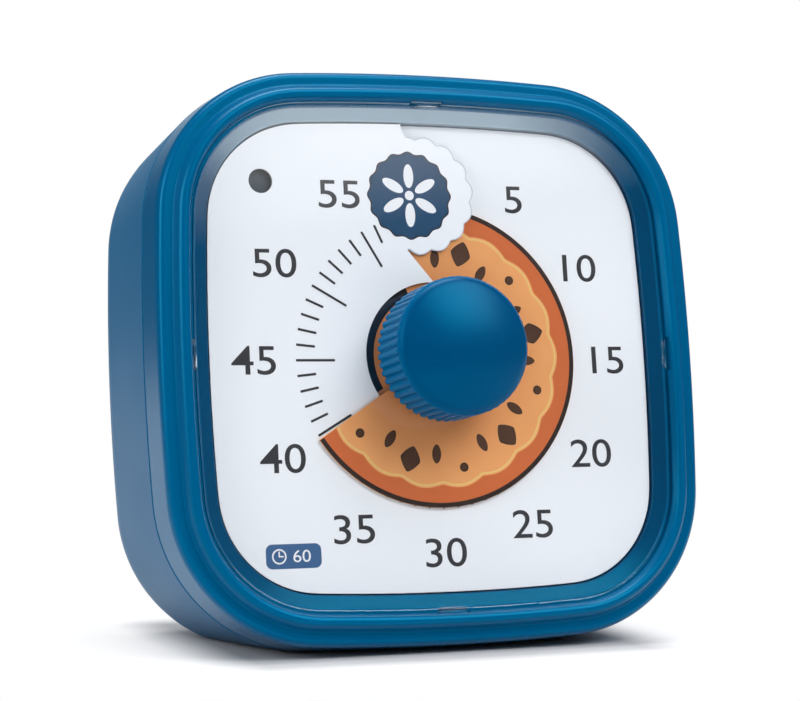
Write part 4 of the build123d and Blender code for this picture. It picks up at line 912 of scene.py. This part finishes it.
minutes = list(range(5, 60, 5))
bearings = [math.radians(6 * minute) for minute in minutes]
number_places = [(PRINT[0] + 29.85 * math.sin(turn), PRINT[1] + 29.85 * math.cos(turn)) for turn in bearings]
numbers = lettering("dial_numbers", [str(minute) for minute in minutes], 6.3, number_places, DIAL_START,
                    weight=0.012, stretch=1.2)
finish_piece(numbers, "case", "printed_card", INK)
print("number height:", round(float(numbers.dimensions.z) * 1000, 1))

# %% [markdown]
# ## Badges
# A small rounded label sits at the lower left. The flap beside the slit carries a round badge. Both are
# plain generic printing: a clock face and a number in the one, and a ring of petals in the other.

# %% Label and flap badge
def pill_outline(x, y, width, height, corner):
    """Rounded rectangle: four arcs of ten points."""
    arc = np.linspace(0, math.pi / 2, 10)
    points = []
    for k, (sx, sy) in enumerate(((1, 1), (-1, 1), (-1, -1), (1, -1))):
        centre = np.array([x + sx * (width / 2 - corner), y + sy * (height / 2 - corner)])
        turn = arc + k * math.pi / 2
        points.append(centre + corner * np.stack([np.cos(turn), np.sin(turn)], -1))
    return np.concatenate(points)


PILL = (-24.8 + PRINT[0], -29.6 + PRINT[1])
printed("label_plate", [slab_on(pill_outline(*PILL, 8.8, 3.7, 1.0), DIAL_START, rise=0.012)], BLUE_INK)
pill_number = lettering("label_number", ["60"], 2.6, [(PILL[0] + 1.3, PILL[1])], DIAL_START + 0.012,
                        stretch=1.15)
finish_piece(pill_number, "case", "printed_card", WHITE_INK)


def circle(x, y, radius, steps=72, wave=0.0, waves=0):
    """Circle whose radius swings by wave, the given number of times round."""
    turn = np.linspace(0, 2 * math.pi, steps, endpoint=False)
    reach = radius * (1 + wave * np.cos(waves * turn))
    return np.stack([x + reach * np.sin(turn), y + reach * np.cos(turn)], -1)


def ring_on(x, y, radius, width, start, rise):
    """Thin printed ring: an outer and an inner circle, low and high."""
    loops = []
    for reach, proud in ((radius, False), (radius, True), (radius - width, True), (radius - width, False)):
        line = circle(x, y, reach, 40)
        height = print_height(line[:, 0], line[:, 1], start) + (rise if proud else -INK_SINK)
        loops.append(np.column_stack([line, height]))
    return skin(np.array(loops), ring=True)


clock = np.array([PILL[0] - 2.3, PILL[1]])
hands = [pill_outline(clock[0], clock[1] + 0.35, 0.22, 0.85, 0.08),
         pill_outline(clock[0] + 0.3, clock[1], 0.8, 0.22, 0.08)]
printed("label_clock", [ring_on(*clock, 1.15, 0.24, DIAL_START, 0.03)]
        + [slab_on(hand, DIAL_START, rise=0.03 + 0.004 * k) for k, hand in enumerate(hands)], WHITE_INK)

BADGE = (-3.1, 25.2)
flap = {"start": DIAL_START, "high_side": True}
for name, radius, rise, material in (("flap_badge_line", 6.85, 0.008, DARK_INK),
                                     ("flap_badge", 6.62, 0.014, NAVY_INK)):
    printed(name, [slab_on(circle(*BADGE, radius, 144, 0.03, 16), rise=rise, **flap)], material)
petals = []
for k in range(6):
    turn = 2 * math.pi * k / 6
    middle = np.array([BADGE[0] + 3.1 * math.sin(turn), BADGE[1] + 3.1 * math.cos(turn)])
    across = np.array([math.cos(turn), -math.sin(turn)])
    along = np.array([math.sin(turn), math.cos(turn)])
    t = np.linspace(0, 2 * math.pi, 28, endpoint=False)
    leaf = middle + np.outer(1.9 * np.sin(t), along) + np.outer(0.82 * np.cos(t), across)
    petals.append(slab_on(leaf, rise=0.022, **flap))
petals.append(slab_on(circle(*BADGE, 0.75, 36), rise=0.022, **flap))
printed("badge_petals", petals, WHITE_INK)

# %% [markdown]
# A thin grey line round the flap is painted shadow: it stands in for the shade along the flap's cut edge. It
# is a narrow sheet that follows the scallops just inside the cut.

# %% Painted shadow line round the flap
scallop_line = flap_cut()[2:-2]
inward = np.array(FLAP) - scallop_line
inward /= np.linalg.norm(inward, axis=1)[:, None]
edge_rows = np.stack([scallop_line + step * inward for step in (0.02, 0.17)])
edge_height = print_height(edge_rows[..., 0], edge_rows[..., 1], DIAL_START, high_side=True) + 0.5 * INK_RISE
# Painted shadow: a thin grey sheet just inside the flap's cut.
printed("flap_painted_shadow_line", [sheet(np.concatenate([edge_rows, edge_height[..., None]], -1), 0.04)], FLAP_SHADOW_INK)

# %% [markdown]
# ## Coloured disc
# The disc is a second wound sheet that lies half a pitch over the dial where it is in sight, and half a
# pitch under it where it is hidden. A black film over a curved relief in its hidden part is painted shade: it
# stands in for the shade down in the relief, and shows beside the knob as a dark crescent.

# %% Disc sheet
DISC_START = DIAL_START + PITCH / 2
HIDDEN = 360.0 - DISC_SHOWN
disc_angle = np.linspace(-HIDDEN, DISC_SHOWN, 241)
disc_rows = np.concatenate([np.linspace(5.02, 10.5, 8), np.linspace(11.8, DISC_RADIUS, 18)])
grid_angle, grid_radius = np.meshgrid(disc_angle, disc_rows)
disc = build("disc_sheet", [sheet(wound(grid_angle, grid_radius, DISC_START), SHEET)], sharp=25)
relief_angle = np.linspace(-HIDDEN + 4, -HIDDEN + 100, 60)
relief_grid = np.meshgrid(relief_angle, np.array([10.5, 11.8]))
relief = sheet(wound(*relief_grid, 2.0), 6.0)
carve(disc, [relief], sharp=25)
finish_piece(disc, "disc_assembly", "printed_disc", ORANGE, "timer_disc")

# %% [markdown]
# The disc's print is a plain rosette: a dark rim line, a deep outer band with a gently waved inner edge, a
# fine pale line, and a round of diamonds, leaves and dots.

# %% Printing on the disc
def disc_band(inner, outer, first, last, rise, steps=240):
    """Thin sheet between two distances, which may change with the angle."""
    turn = np.linspace(first, last, steps)
    fraction = np.linspace(0, 1, 4)[:, None]
    low = inner(turn) if callable(inner) else np.full(steps, inner)
    high = outer(turn) if callable(outer) else np.full(steps, outer)
    radius = low + fraction * (high - low)
    top = wound(np.broadcast_to(turn, radius.shape), radius, DISC_START + rise)
    return sheet(top, rise + INK_SINK)


def waved(radius, depth):
    """Distance that swings by a depth, eighteen times in a full turn."""
    return lambda turn: radius + depth * np.abs(np.sin(np.radians(9 * turn)))


FIRST, LAST = -HIDDEN + 0.4, DISC_SHOWN - 0.3
ON_DISC = ("disc_assembly", "printed_disc")
BANDS = [
    ("disc_rim_line", (22.95, DISC_RADIUS - 0.02, FIRST, LAST, 0.02), DARK_INK),
    # Painted shade: a black film over the relief beside the knob.
    ("disc_painted_relief_shade", (10.1, 12.2, -HIDDEN + 3, -HIDDEN + 101, 0.01), BLACK_INK),
    ("disc_deep_band", (waved(20.1, 0.75), 23.0, FIRST, LAST, 0.012), RUST_INK),
    ("disc_pale_line", (waved(19.55, 0.75), waved(19.85, 0.75), FIRST, LAST, 0.012), STRAW_INK),
]
for name, limits, material in BANDS:
    printed(name, [disc_band(*limits)], material, *ON_DISC)


def on_disc(points, rise):
    """Slab on the disc. Its height continues below the start for the hidden part."""
    points = np.asarray(points, float)
    turn = np.degrees(np.arctan2(points[:, 0], points[:, 1])) % 360
    turn = np.where(turn > DISC_SHOWN, turn - 360, turn)
    height = DISC_START + PITCH * turn / 360
    low = np.column_stack([points, height - INK_SINK])
    return skin(np.array([low, np.column_stack([points, height + rise])]))


def motif(shape, size):
    """Outline drawn along y about 0, 0. Diamond: |cos|^n + |sin|^n = 1. Leaf: width follows sin squared."""
    t = np.linspace(0, 2 * math.pi, 56, endpoint=False)
    if shape == "diamond":
        reach = size / (np.abs(np.cos(t)) ** 1.3 + np.abs(np.sin(t)) ** 1.3) ** (1 / 1.3)
        return np.stack([0.82 * reach * np.cos(t), reach * np.sin(t)], -1)
    if shape == "leaf":
        return np.stack([0.5 * size * np.sin(t) * np.abs(np.sin(t)) ** 0.3, size * np.cos(t)], -1)
    return size * np.stack([np.cos(t), np.sin(t)], -1)


def placed(outline, angle_deg, radius):
    """An outline turned to stand on a spoke, at a clockwise angle and a distance."""
    turn = math.radians(angle_deg)
    along = np.array([math.sin(turn), math.cos(turn)])
    across = np.array([math.cos(turn), -math.sin(turn)])
    return radius * along + outline[:, :1] * across + outline[:, 1:] * along


dark, brown = [], []
ROUND = [("diamond", 2.05, 16.9), ("leaf", 1.5, 15.4), ("dot", 0.72, 17.9), ("leaf", 1.5, 15.4)]
for step in range(24):
    shape, size, radius = ROUND[step % 4]
    clockwise = 15 * step + 18
    clockwise = clockwise if clockwise < DISC_SHOWN - 4 else clockwise - 360
    if clockwise < -HIDDEN + 5:
        continue
    dark.append(on_disc(placed(motif(shape, size), clockwise, radius), 0.016))
    brown.append(on_disc(placed(motif(shape, size - 0.17), clockwise, radius), 0.024))
printed("disc_motif_outlines", dark, DARK_INK, *ON_DISC)
printed("disc_motifs", brown, BROWN_INK, *ON_DISC)
print("motifs on the disc:", len(dark))

# %% [markdown]
# ## Knob
# The knob is turned by thumb and fingers, so its side has fifty ribs that run out under a smooth domed
# cap. The whole knob is one grid: radius as a function of angle and of the position along the profile.
# The ribs are parted by narrow rounded troughs in the angle, which fade out below the cap.

# %% Knob
DOME = 26.0
RIBS = 50


def knob_loops():
    """Radius = profile radius - depth * fade * (trough shape of cos(ribs * angle))."""
    cap_r = np.linspace(0.05, 9.2, 22)
    cap = np.stack([cap_r, KNOB_TOP - DOME + np.sqrt(DOME ** 2 - cap_r ** 2)], -1)
    edge_z = KNOB_TOP - DOME + math.sqrt(DOME ** 2 - 10.4 ** 2)
    rest = rounded([(9.2, cap[-1, 1], 0), (KNOB_RADIUS - 0.3, edge_z, 1.0), (KNOB_RADIUS, 10.95, 0.3),
                    (KNOB_RADIUS, 10.3, 0)], 8)[1:]
    side = np.stack([np.full(8, KNOB_RADIUS), np.linspace(10.1, KNOB_BOTTOM + 0.5, 8)], -1)
    inside = rounded([(KNOB_RADIUS, KNOB_BOTTOM + 0.4, 0), (KNOB_RADIUS, KNOB_BOTTOM, 0.25),
                      (9.2, KNOB_BOTTOM, 0.2), (9.2, 10.15, 0), (3.6, 10.15, 0), (3.6, KNOB_BOTTOM, 0.15),
                      (2.02, KNOB_BOTTOM, 0.1), (2.02, 11.02, 0), (0.05, 11.02, 0)])
    profile = np.concatenate([cap, rest, side, inside[1:]])
    turn = np.linspace(0, 2 * math.pi, RIBS * 12, endpoint=False)
    trough = (0.5 * (1 + np.cos(RIBS * turn))) ** 2.5
    outer = (np.arange(len(profile)) < len(cap) + len(rest) + len(side) + 5)
    depth = 0.42 * np.clip((11.25 - profile[:, 1]) / 0.8, 0, 1) * outer * (profile[:, 0] > 10.0)
    radius = profile[:, :1] - depth[:, None] * trough[None, :]
    height = np.broadcast_to(profile[:, 1:], radius.shape)
    return np.stack([radius * np.cos(turn), radius * np.sin(turn), height], -1)


def knob_finish():
    """A blue a little darker than the case's. The cap is polished and the ribs are satin: the gloss follows
    the normal. The ribs get a lighter blue, which is painted light.
    """
    material = finish("knob_blue", srgb(0, 71, 116), srgb(0, 68, 111), rough=(0.25, 0.28), scale=9000.0,
                      bump=0.04, film=0.0, Specular_Tint=SHEEN)
    tree = material.node_tree
    facing = vector_maths(tree, "DOT_PRODUCT", surface_normal(tree), (0.0, -math.cos(LEAN), math.sin(LEAN)))
    shader = tree.nodes["Principled BSDF"]
    tree.links.new(ramp(tree, facing, 0.55, 0.9, 0.03, 0.42), shader.inputs["Specular IOR Level"])
    # Painted light: faces that turn away from the reader, the ribs, are mixed to a lighter blue.
    side = ramp(tree, facing, 0.3, 0.8, 1.0, 0.0)
    base = shader.inputs["Base Color"]
    tree.links.new(mix_colour(tree, side, base.links[0].from_socket, srgb(0, 96, 144)), base)
    return material


knob = build("knob_shell", [skin(knob_loops())], sharp=50)
finish_piece(knob, "knob_assembly", "case_blue", knob_finish(), "knob")

# %% [markdown]
# ## Window
# A flat clear moulding lies in the bezel, held by four small tabs. Its rim is bevelled, and the bevel
# catches the light as a thin bright line. Real glass bends light, so the shader is glass. For shadow and
# scattered rays it is simply see-through, so the dial under it is lit as it should be.

# %% Window
def window_profile(rim_inset, bevel):
    """Half of the section, from the top face over the bevelled rim to the lower face."""
    return [(rim_inset + 3 * bevel, LENS_TOP), (rim_inset + bevel, LENS_TOP), (rim_inset, LENS_TOP - bevel),
            (rim_inset, LENS_BOTTOM + bevel), (rim_inset + bevel, LENS_BOTTOM),
            (rim_inset + 3 * bevel, LENS_BOTTOM)]


hole = [(4.4, LENS_BOTTOM), (4.12, LENS_BOTTOM), (4.0, LENS_BOTTOM + 0.12), (4.0, LENS_TOP - 0.12),
        (4.12, LENS_TOP), (4.4, LENS_TOP)]
window_loops = np.concatenate([carried(window_profile(5.7, 0.17))] + [floor_circle(*point) for point in hole])
tabs = on_four_sides(pad(38.9, 39.8, -2.4, 2.4, LENS_BOTTOM + 0.02, LENS_BOTTOM + 0.4, corner=0.5, soft=0.08))
window = build("window_sheet", [skin(window_loops, ring=True)] + tabs)


def window_finish():
    """Glass for camera and mirror rays, see-through for shadow and diffuse rays, with faint dull patches."""
    material = bpy.data.materials.new("clear_window")
    material.use_nodes = True
    tree = material.node_tree
    shader = tree.nodes["Principled BSDF"]
    shader.inputs["Base Color"].default_value = (1, 1, 1, 1)
    shader.inputs["Transmission Weight"].default_value = 1.0
    shader.inputs["IOR"].default_value = 1.49
    dull_haze_and_painted_reflection = ramp(tree, noise(tree, object_place(tree), 60.0, 4.0), 0.35, 0.75, 0.0, 0.035)
    tree.links.new(dull_haze_and_painted_reflection, shader.inputs["Roughness"])
    clear = tree.nodes.new("ShaderNodeBsdfTransparent").outputs["BSDF"]
    path = tree.nodes.new("ShaderNodeLightPath").outputs
    either = maths(tree, "MAXIMUM", path["Is Shadow Ray"], path["Is Diffuse Ray"])
    tree.links.new(mix_shaders(tree, either, shader.outputs["BSDF"], clear),
                   tree.nodes["Material Output"].inputs["Surface"])
    return material


finish_piece(window, "case", "clear_window", window_finish(), "dial_lens")

# %% [markdown]
# ## Battery door and slider
# Both are small mouldings in the back. Their mechanical solids have sharp edges, so they are made again
# with softened rims. The door has two slits beside its latch and four grip grooves.

# %% Battery door and volume slider
x0, x1, y0, y1 = DOOR
door = build("door_plate", [pad(x0, x1, y0, y1, BACK, INNER_BACK, 0.8, 0.02, 0.25)])
grooves = [pad(-6, 6, y1 - 2.2 - 1.2 * k - 0.3, y1 - 2.2 - 1.2 * k + 0.3, BACK - 1, BACK + 0.4, 0.25, 0.12)
           for k in range(4)]
slits = [pad(x - 0.4, x + 0.4, y1 - 8, y1 + 2, BACK - 1, INNER_BACK + 1, 0.38, 0.01) for x in (-8.0, 8.0)]
carve(door, grooves + slits)
hooks = []
for x in (-18.0, 18.0):
    hooks.append(pad(x - 2.5, x + 2.5, y0 + 0.05, y0 + 1.3, INNER_BACK - 0.4, INNER_BACK + 1.5, 0.15, 0.1))
    hooks.append(pad(x - 2.5, x + 2.5, y0 - 2.0, y0 + 1.3, INNER_BACK + 0.5, INNER_BACK + 1.5, 0.15, 0.1))
add_solids(door, "door_hooks", hooks)
finish_piece(door, "door", "case_blue", SATIN_BLUE, "battery_door")

thumb_low = BACK - 0.6
slider = build("slider_thumb", [
    pad(12 - 2.5, 12 + 2.5, 8 - 1.5, 8 + 1.5, thumb_low, INNER_BACK + 0.3, 0.3, 0.02, 0.15),
    pad(12 - 7.3, 12 + 7.3, 8 - 3.0, 8 + 3.0, INNER_BACK + 0.2, INNER_BACK + 1.0, 0.4, 0.1),
    pad(12 - 1.5, 12 + 1.5, 8 - 0.6, 8 + 0.6, INNER_BACK + 0.3, -36.1, 0.15, 0.05)])
carve(slider, [pad(12 + k - 0.25, 12 + k + 0.25, 5, 11, thumb_low - 1, thumb_low + 0.3, 0.1, 0.08)
               for k in (-1.2, 0.0, 1.2)])
BLACK = finish("black_plastic", srgb(44, 44, 48), srgb(36, 36, 40), rough=(0.42, 0.55), scale=5000.0,
               bump=0.1)
finish_piece(slider, "slider", "black_plastic", BLACK, "volume_slider")

# %% [markdown]
# ## Lamp window and feet
# The lamp sits behind a smoked plastic disc, slightly domed. A thin black sleeve round it is painted shade
# for the shaded wall of its hole. The feet are rubber pads with a softened rim, set into the sole.

# %% Lamp window and rubber feet
lens_top = [(0.02, -1.22), (0.5, -1.225), (1.0, -1.25), (1.45, -1.3), (1.75, -1.36), (1.85, -1.46)]
lamp_window = build("lamp_cover", [turned(lens_top + [(1.85, -2.6), (0.02, -2.6)], *LAMP)])
SMOKED = finish("smoked_plastic", srgb(62, 76, 86), srgb(54, 68, 78), rough=(0.2, 0.28), scale=4000.0,
                bump=0.02, film=0.02, Specular_IOR_Level=0.1)
finish_piece(lamp_window, "case", "smoked_plastic", SMOKED, "led_window")
# Painted shade: a thin black sleeve stands in for the shaded wall of the lamp's hole.
printed("lamp_painted_shade_sleeve", [sleeve(1.885, 1.78, -2.55, -0.42, *LAMP)], BLACK_INK, slot="smoked_plastic")

feet = build("foot_pads", [square_to_sole(bar(4.0, -0.4, 1.0, soft=0.12), x, z) for x, z in FEET])
RUBBER = finish("foot_rubber", srgb(54, 54, 57), srgb(44, 44, 47), rough=(0.75, 0.9), scale=2500.0, bump=0.25,
                film=0.2)
finish_piece(feet, "case", "rubber_feet", RUBBER, "rubber_feet")

# %% [markdown]
# ## Finishes of the parts inside
# The movement, the battery and the electronics keep their mechanical shapes. Each gets the finish that
# its real counterpart has: acetal wheels, plated steel, enamelled copper, solder mask and so on.

# %% Inside finishes
def dress(material, names):
    """Give mechanical nodes their material."""
    for name in names.split():
        materials = frame["nodes"][name].data.materials
        materials.clear()
        materials.append(material)
    return len(names.split())


# name, colour, shade, roughness, metallic, grain scale, bump, nodes
INSIDE = [
    ("plated_steel", (186, 187, 190), (160, 161, 165), (0.22, 0.38), 1.0, 3500.0, 0.08,
     "spindle clutch_spring movement_screws case_screws board_screws stator crystal"),
    ("rolled_brass", (214, 178, 104), (188, 150, 82), (0.25, 0.4), 1.0, 3000.0, 0.06,
     "alarm_contact piezo_disc"),
    ("nickel_plate", (206, 203, 196), (184, 180, 172), (0.16, 0.3), 1.0, 3500.0, 0.05,
     "battery_spring battery_plate"),
    ("white_acetal", (232, 231, 226), (222, 221, 214), (0.35, 0.48), 0.0, 3500.0, 0.05,
     "disc_hub alarm_cam centre_wheel third_wheel fourth_wheel fifth_wheel rotor_pinion coil_bobbin"),
    ("grey_plastic", (158, 160, 164), (146, 148, 152), (0.42, 0.55), 0.0, 3500.0, 0.08,
     "movement_cover movement_base"),
    ("sintered_magnet", (78, 78, 82), (60, 60, 64), (0.5, 0.7), 0.4, 1800.0, 0.25, "rotor_magnet"),
    ("copper_winding", (190, 112, 66), (160, 84, 44), (0.2, 0.35), 0.8, 1500.0, 0.3, "coil_winding"),
    ("cell_jacket", (66, 78, 92), (52, 62, 76), (0.22, 0.32), 0.0, 2500.0, 0.04, "battery"),
    ("solder_mask", (22, 112, 66), (12, 84, 48), (0.2, 0.34), 0.0, 900.0, 0.12, "circuit_board led_board"),
    ("lamp_red", (200, 44, 38), (176, 30, 26), (0.1, 0.18), 0.0, 3000.0, 0.02, "led"),
    ("wire_red", (188, 36, 34), (160, 26, 26), (0.35, 0.5), 0.0, 2500.0, 0.08, "battery_lead_red lamp_leads"),
    ("wire_black", (46, 46, 48), (34, 34, 36), (0.35, 0.5), 0.0, 2500.0, 0.08,
     "battery_lead_black coil_leads"),
]
dressed = dress(BLACK, "controller_chip switch_body buzzer_case capacitors resistors")
inside = {}
for name, colour, shade, rough, metallic, scale, bump, names in INSIDE:
    inside[name] = finish(name, srgb(*colour), srgb(*shade), rough=rough, metallic=metallic, scale=scale,
                          bump=bump)
    dressed += dress(inside[name], names)


def winding_lines(material):
    """Turns of the coil: fine bands across x, in place of the grain on the bump."""
    tree = material.node_tree
    relief = next(node for node in tree.nodes if node.type == "BUMP")
    wave = tree.nodes.new("ShaderNodeTexWave")
    wave.inputs["Scale"].default_value = 2200.0
    tree.links.new(object_place(tree), wave.inputs["Vector"])
    tree.links.new(wave.outputs["Fac"], relief.inputs["Height"])
    relief.inputs["Strength"].default_value = 0.6


winding_lines(inside["copper_winding"])
print("dressed nodes:", dressed)

# %% [markdown]
# ## Stage
# A white table top in a white room. The table is lit like any surface, so it takes the timer's soft
# shadow. An added glow that only the camera and mirrors see takes it up to white away from the timer, so
# table and backdrop meet without a line, while the shadow right under the timer stays dark.

# %% Floor
FLOOR_SIZE = 6.0
FOOTPRINT = (0.030, 0.027, 0.0)  # half the area that the glow leaves out
floor_mesh = bpy.data.meshes.new("table_top")
side = FLOOR_SIZE / 2
floor_corners = [(-side, -side, 0), (side, -side, 0), (side, side, 0), (-side, side, 0)]
floor_mesh.from_pydata(floor_corners, [], [(0, 1, 2, 3)])
floor = bpy.data.objects.new("table_top", floor_mesh)
bpy.context.scene.collection.objects.link(floor)


def table_finish():
    """Diffuse white plus a glow for camera and mirror rays. The glow is nothing under the timer, so that its
    contact shadow stays dark, and grows with the distance from its footprint."""
    material = bpy.data.materials.new("table_white")
    material.use_nodes = True
    tree = material.node_tree
    shader = tree.nodes["Principled BSDF"]
    shader.inputs["Roughness"].default_value = 0.9
    shader.inputs["Specular IOR Level"].default_value = 0.0
    place = object_place(tree)
    fleck = ramp(tree, noise(tree, place, 900.0, 2.0), 0.3, 0.7, 0.0, 1.0)
    white = mix_colour(tree, fleck, (0.6, 0.6, 0.61, 1), (0.61, 0.61, 0.62, 1))
    tree.links.new(white, shader.inputs["Base Color"])
    beyond = vector_maths(tree, "ABSOLUTE", place, result="Vector")
    beyond = vector_maths(tree, "SUBTRACT", beyond, FOOTPRINT, result="Vector")
    beyond = vector_maths(tree, "MAXIMUM", beyond, (0, 0, 0), result="Vector")
    distance = vector_maths(tree, "LENGTH", beyond)
    path = tree.nodes.new("ShaderNodeLightPath").outputs
    seen = maths(tree, "MAXIMUM", path["Is Camera Ray"], path["Is Glossy Ray"])
    near = maths(tree, "MULTIPLY", seen, ramp(tree, distance, 0.001, 0.010, 0.0, 0.5))
    far = maths(tree, "MULTIPLY", seen, ramp(tree, distance, 0.004, 0.032, 0.0, 1.0))
    near_glow = tree.nodes.new("ShaderNodeEmission")
    tree.links.new(near, near_glow.inputs["Strength"])
    both = tree.nodes.new("ShaderNodeAddShader")
    tree.links.new(shader.outputs["BSDF"], both.inputs[0])
    tree.links.new(near_glow.outputs["Emission"], both.inputs[1])
    full_glow = tree.nodes.new("ShaderNodeEmission").outputs["Emission"]
    tree.links.new(mix_shaders(tree, far, both.outputs["Shader"], full_glow),
                   tree.nodes["Material Output"].inputs["Surface"])
    return material


floor_mesh.materials.append(table_finish())

# %% [markdown]
# ## Room and lamps
# The world gives an even dim light. Seen directly it is white. In mirror rays it is bright straight behind
# the timer, where a lit paper backdrop hangs, and dark on the reader's side, as a studio is. The key light
# is one large soft box above and to the right of the reader, high enough to keep its mirror image off the
# dial.

# %% World
VIEW = (0.3676, 0.930, 0.0)  # the direction in which the camera looks

world = bpy.data.worlds.new("white_room")
bpy.context.scene.world = world
world.use_nodes = True
sky = world.node_tree
back_light = sky.nodes["Background"]
away = vector_maths(sky, "DOT_PRODUCT", sky.nodes.new("ShaderNodeTexCoord").outputs["Generated"], VIEW)
behind = ramp(sky, away, 0.8, 1.0, 0.0, 1.0)
mirror_tone = mix_colour(sky, behind, (0.03, 0.035, 0.04, 1), (0.75, 0.88, 0.95, 1))
ray = sky.nodes.new("ShaderNodeLightPath").outputs
glossy = maths(sky, "MAXIMUM", ray["Is Glossy Ray"], ray["Is Transmission Ray"])
tone = mix_colour(sky, glossy, (0.21, 0.22, 0.23, 1), mirror_tone)
tone = mix_colour(sky, ray["Is Camera Ray"], tone, (1, 1, 1, 1))
sky.links.new(tone, back_light.inputs["Color"])


def fall_off(lamp):
    """Dim a lamp towards its rim: strength = 4u(1-u) * 4v(1-v), with u and v across the lamp."""
    lamp.use_nodes = True
    tree = lamp.node_tree
    across = split_vector(tree, tree.nodes.new("ShaderNodeNewGeometry").outputs["Parametric"])
    humps = [maths(tree, "MULTIPLY", maths(tree, "MULTIPLY", u, 4.0), maths(tree, "SUBTRACT", 1.0, u))
             for u in (across["X"], across["Y"])]
    tree.links.new(maths(tree, "MULTIPLY", *humps), tree.nodes["Emission"].inputs["Strength"])


def soft_box(name, target, azimuth, elevation, reach, width, height, radiance):
    """Area lamp at a direction from the target. Power = pi * area * radiance at its middle."""
    a, e = math.radians(azimuth), math.radians(elevation)
    away = Vector((math.sin(a) * math.cos(e), -math.cos(a) * math.cos(e), math.sin(e)))
    lamp = bpy.data.lights.new(name, "AREA")
    lamp.shape, lamp.size, lamp.size_y = "RECTANGLE", width, height
    lamp.energy = math.pi * width * height * radiance
    fall_off(lamp)
    holder = bpy.data.objects.new(name, lamp)
    bpy.context.scene.collection.objects.link(holder)
    holder.location = Vector(target) + away * reach
    holder.rotation_euler = away.to_track_quat("Z", "Y").to_euler()
    return holder


dial_middle = axis_point.tolist()
soft_box("key_box", dial_middle, 28, 44, 1.0, 1.0, 0.92, 6.2)
soft_box("left_fill", dial_middle, -78, 22, 1.2, 0.8, 0.9, 6.3)
soft_box("top_fill", dial_middle, 180, 84, 1.0, 0.9, 0.7, 8.0)

# %% [markdown]
# ## Camera
# The viewpoint is 21.6 degrees to the left of the dial, level with the middle of the timer, with a long
# lens so that the square case keeps its proportions.

# %% Camera
camera_data = bpy.data.cameras.new("camera")
camera_data.lens = 101.345
camera_data.sensor_width = 36.0
camera = bpy.data.objects.new("camera", camera_data)
bpy.context.scene.collection.objects.link(camera)
camera.location = (-0.13385, -0.3396, 0.0462)
camera.rotation_euler = Vector(VIEW).to_track_quat("-Z", "Y").to_euler()
camera_data.clip_start = 0.01
bpy.context.scene.camera = camera
bpy.context.scene.view_settings.view_transform = "Standard"
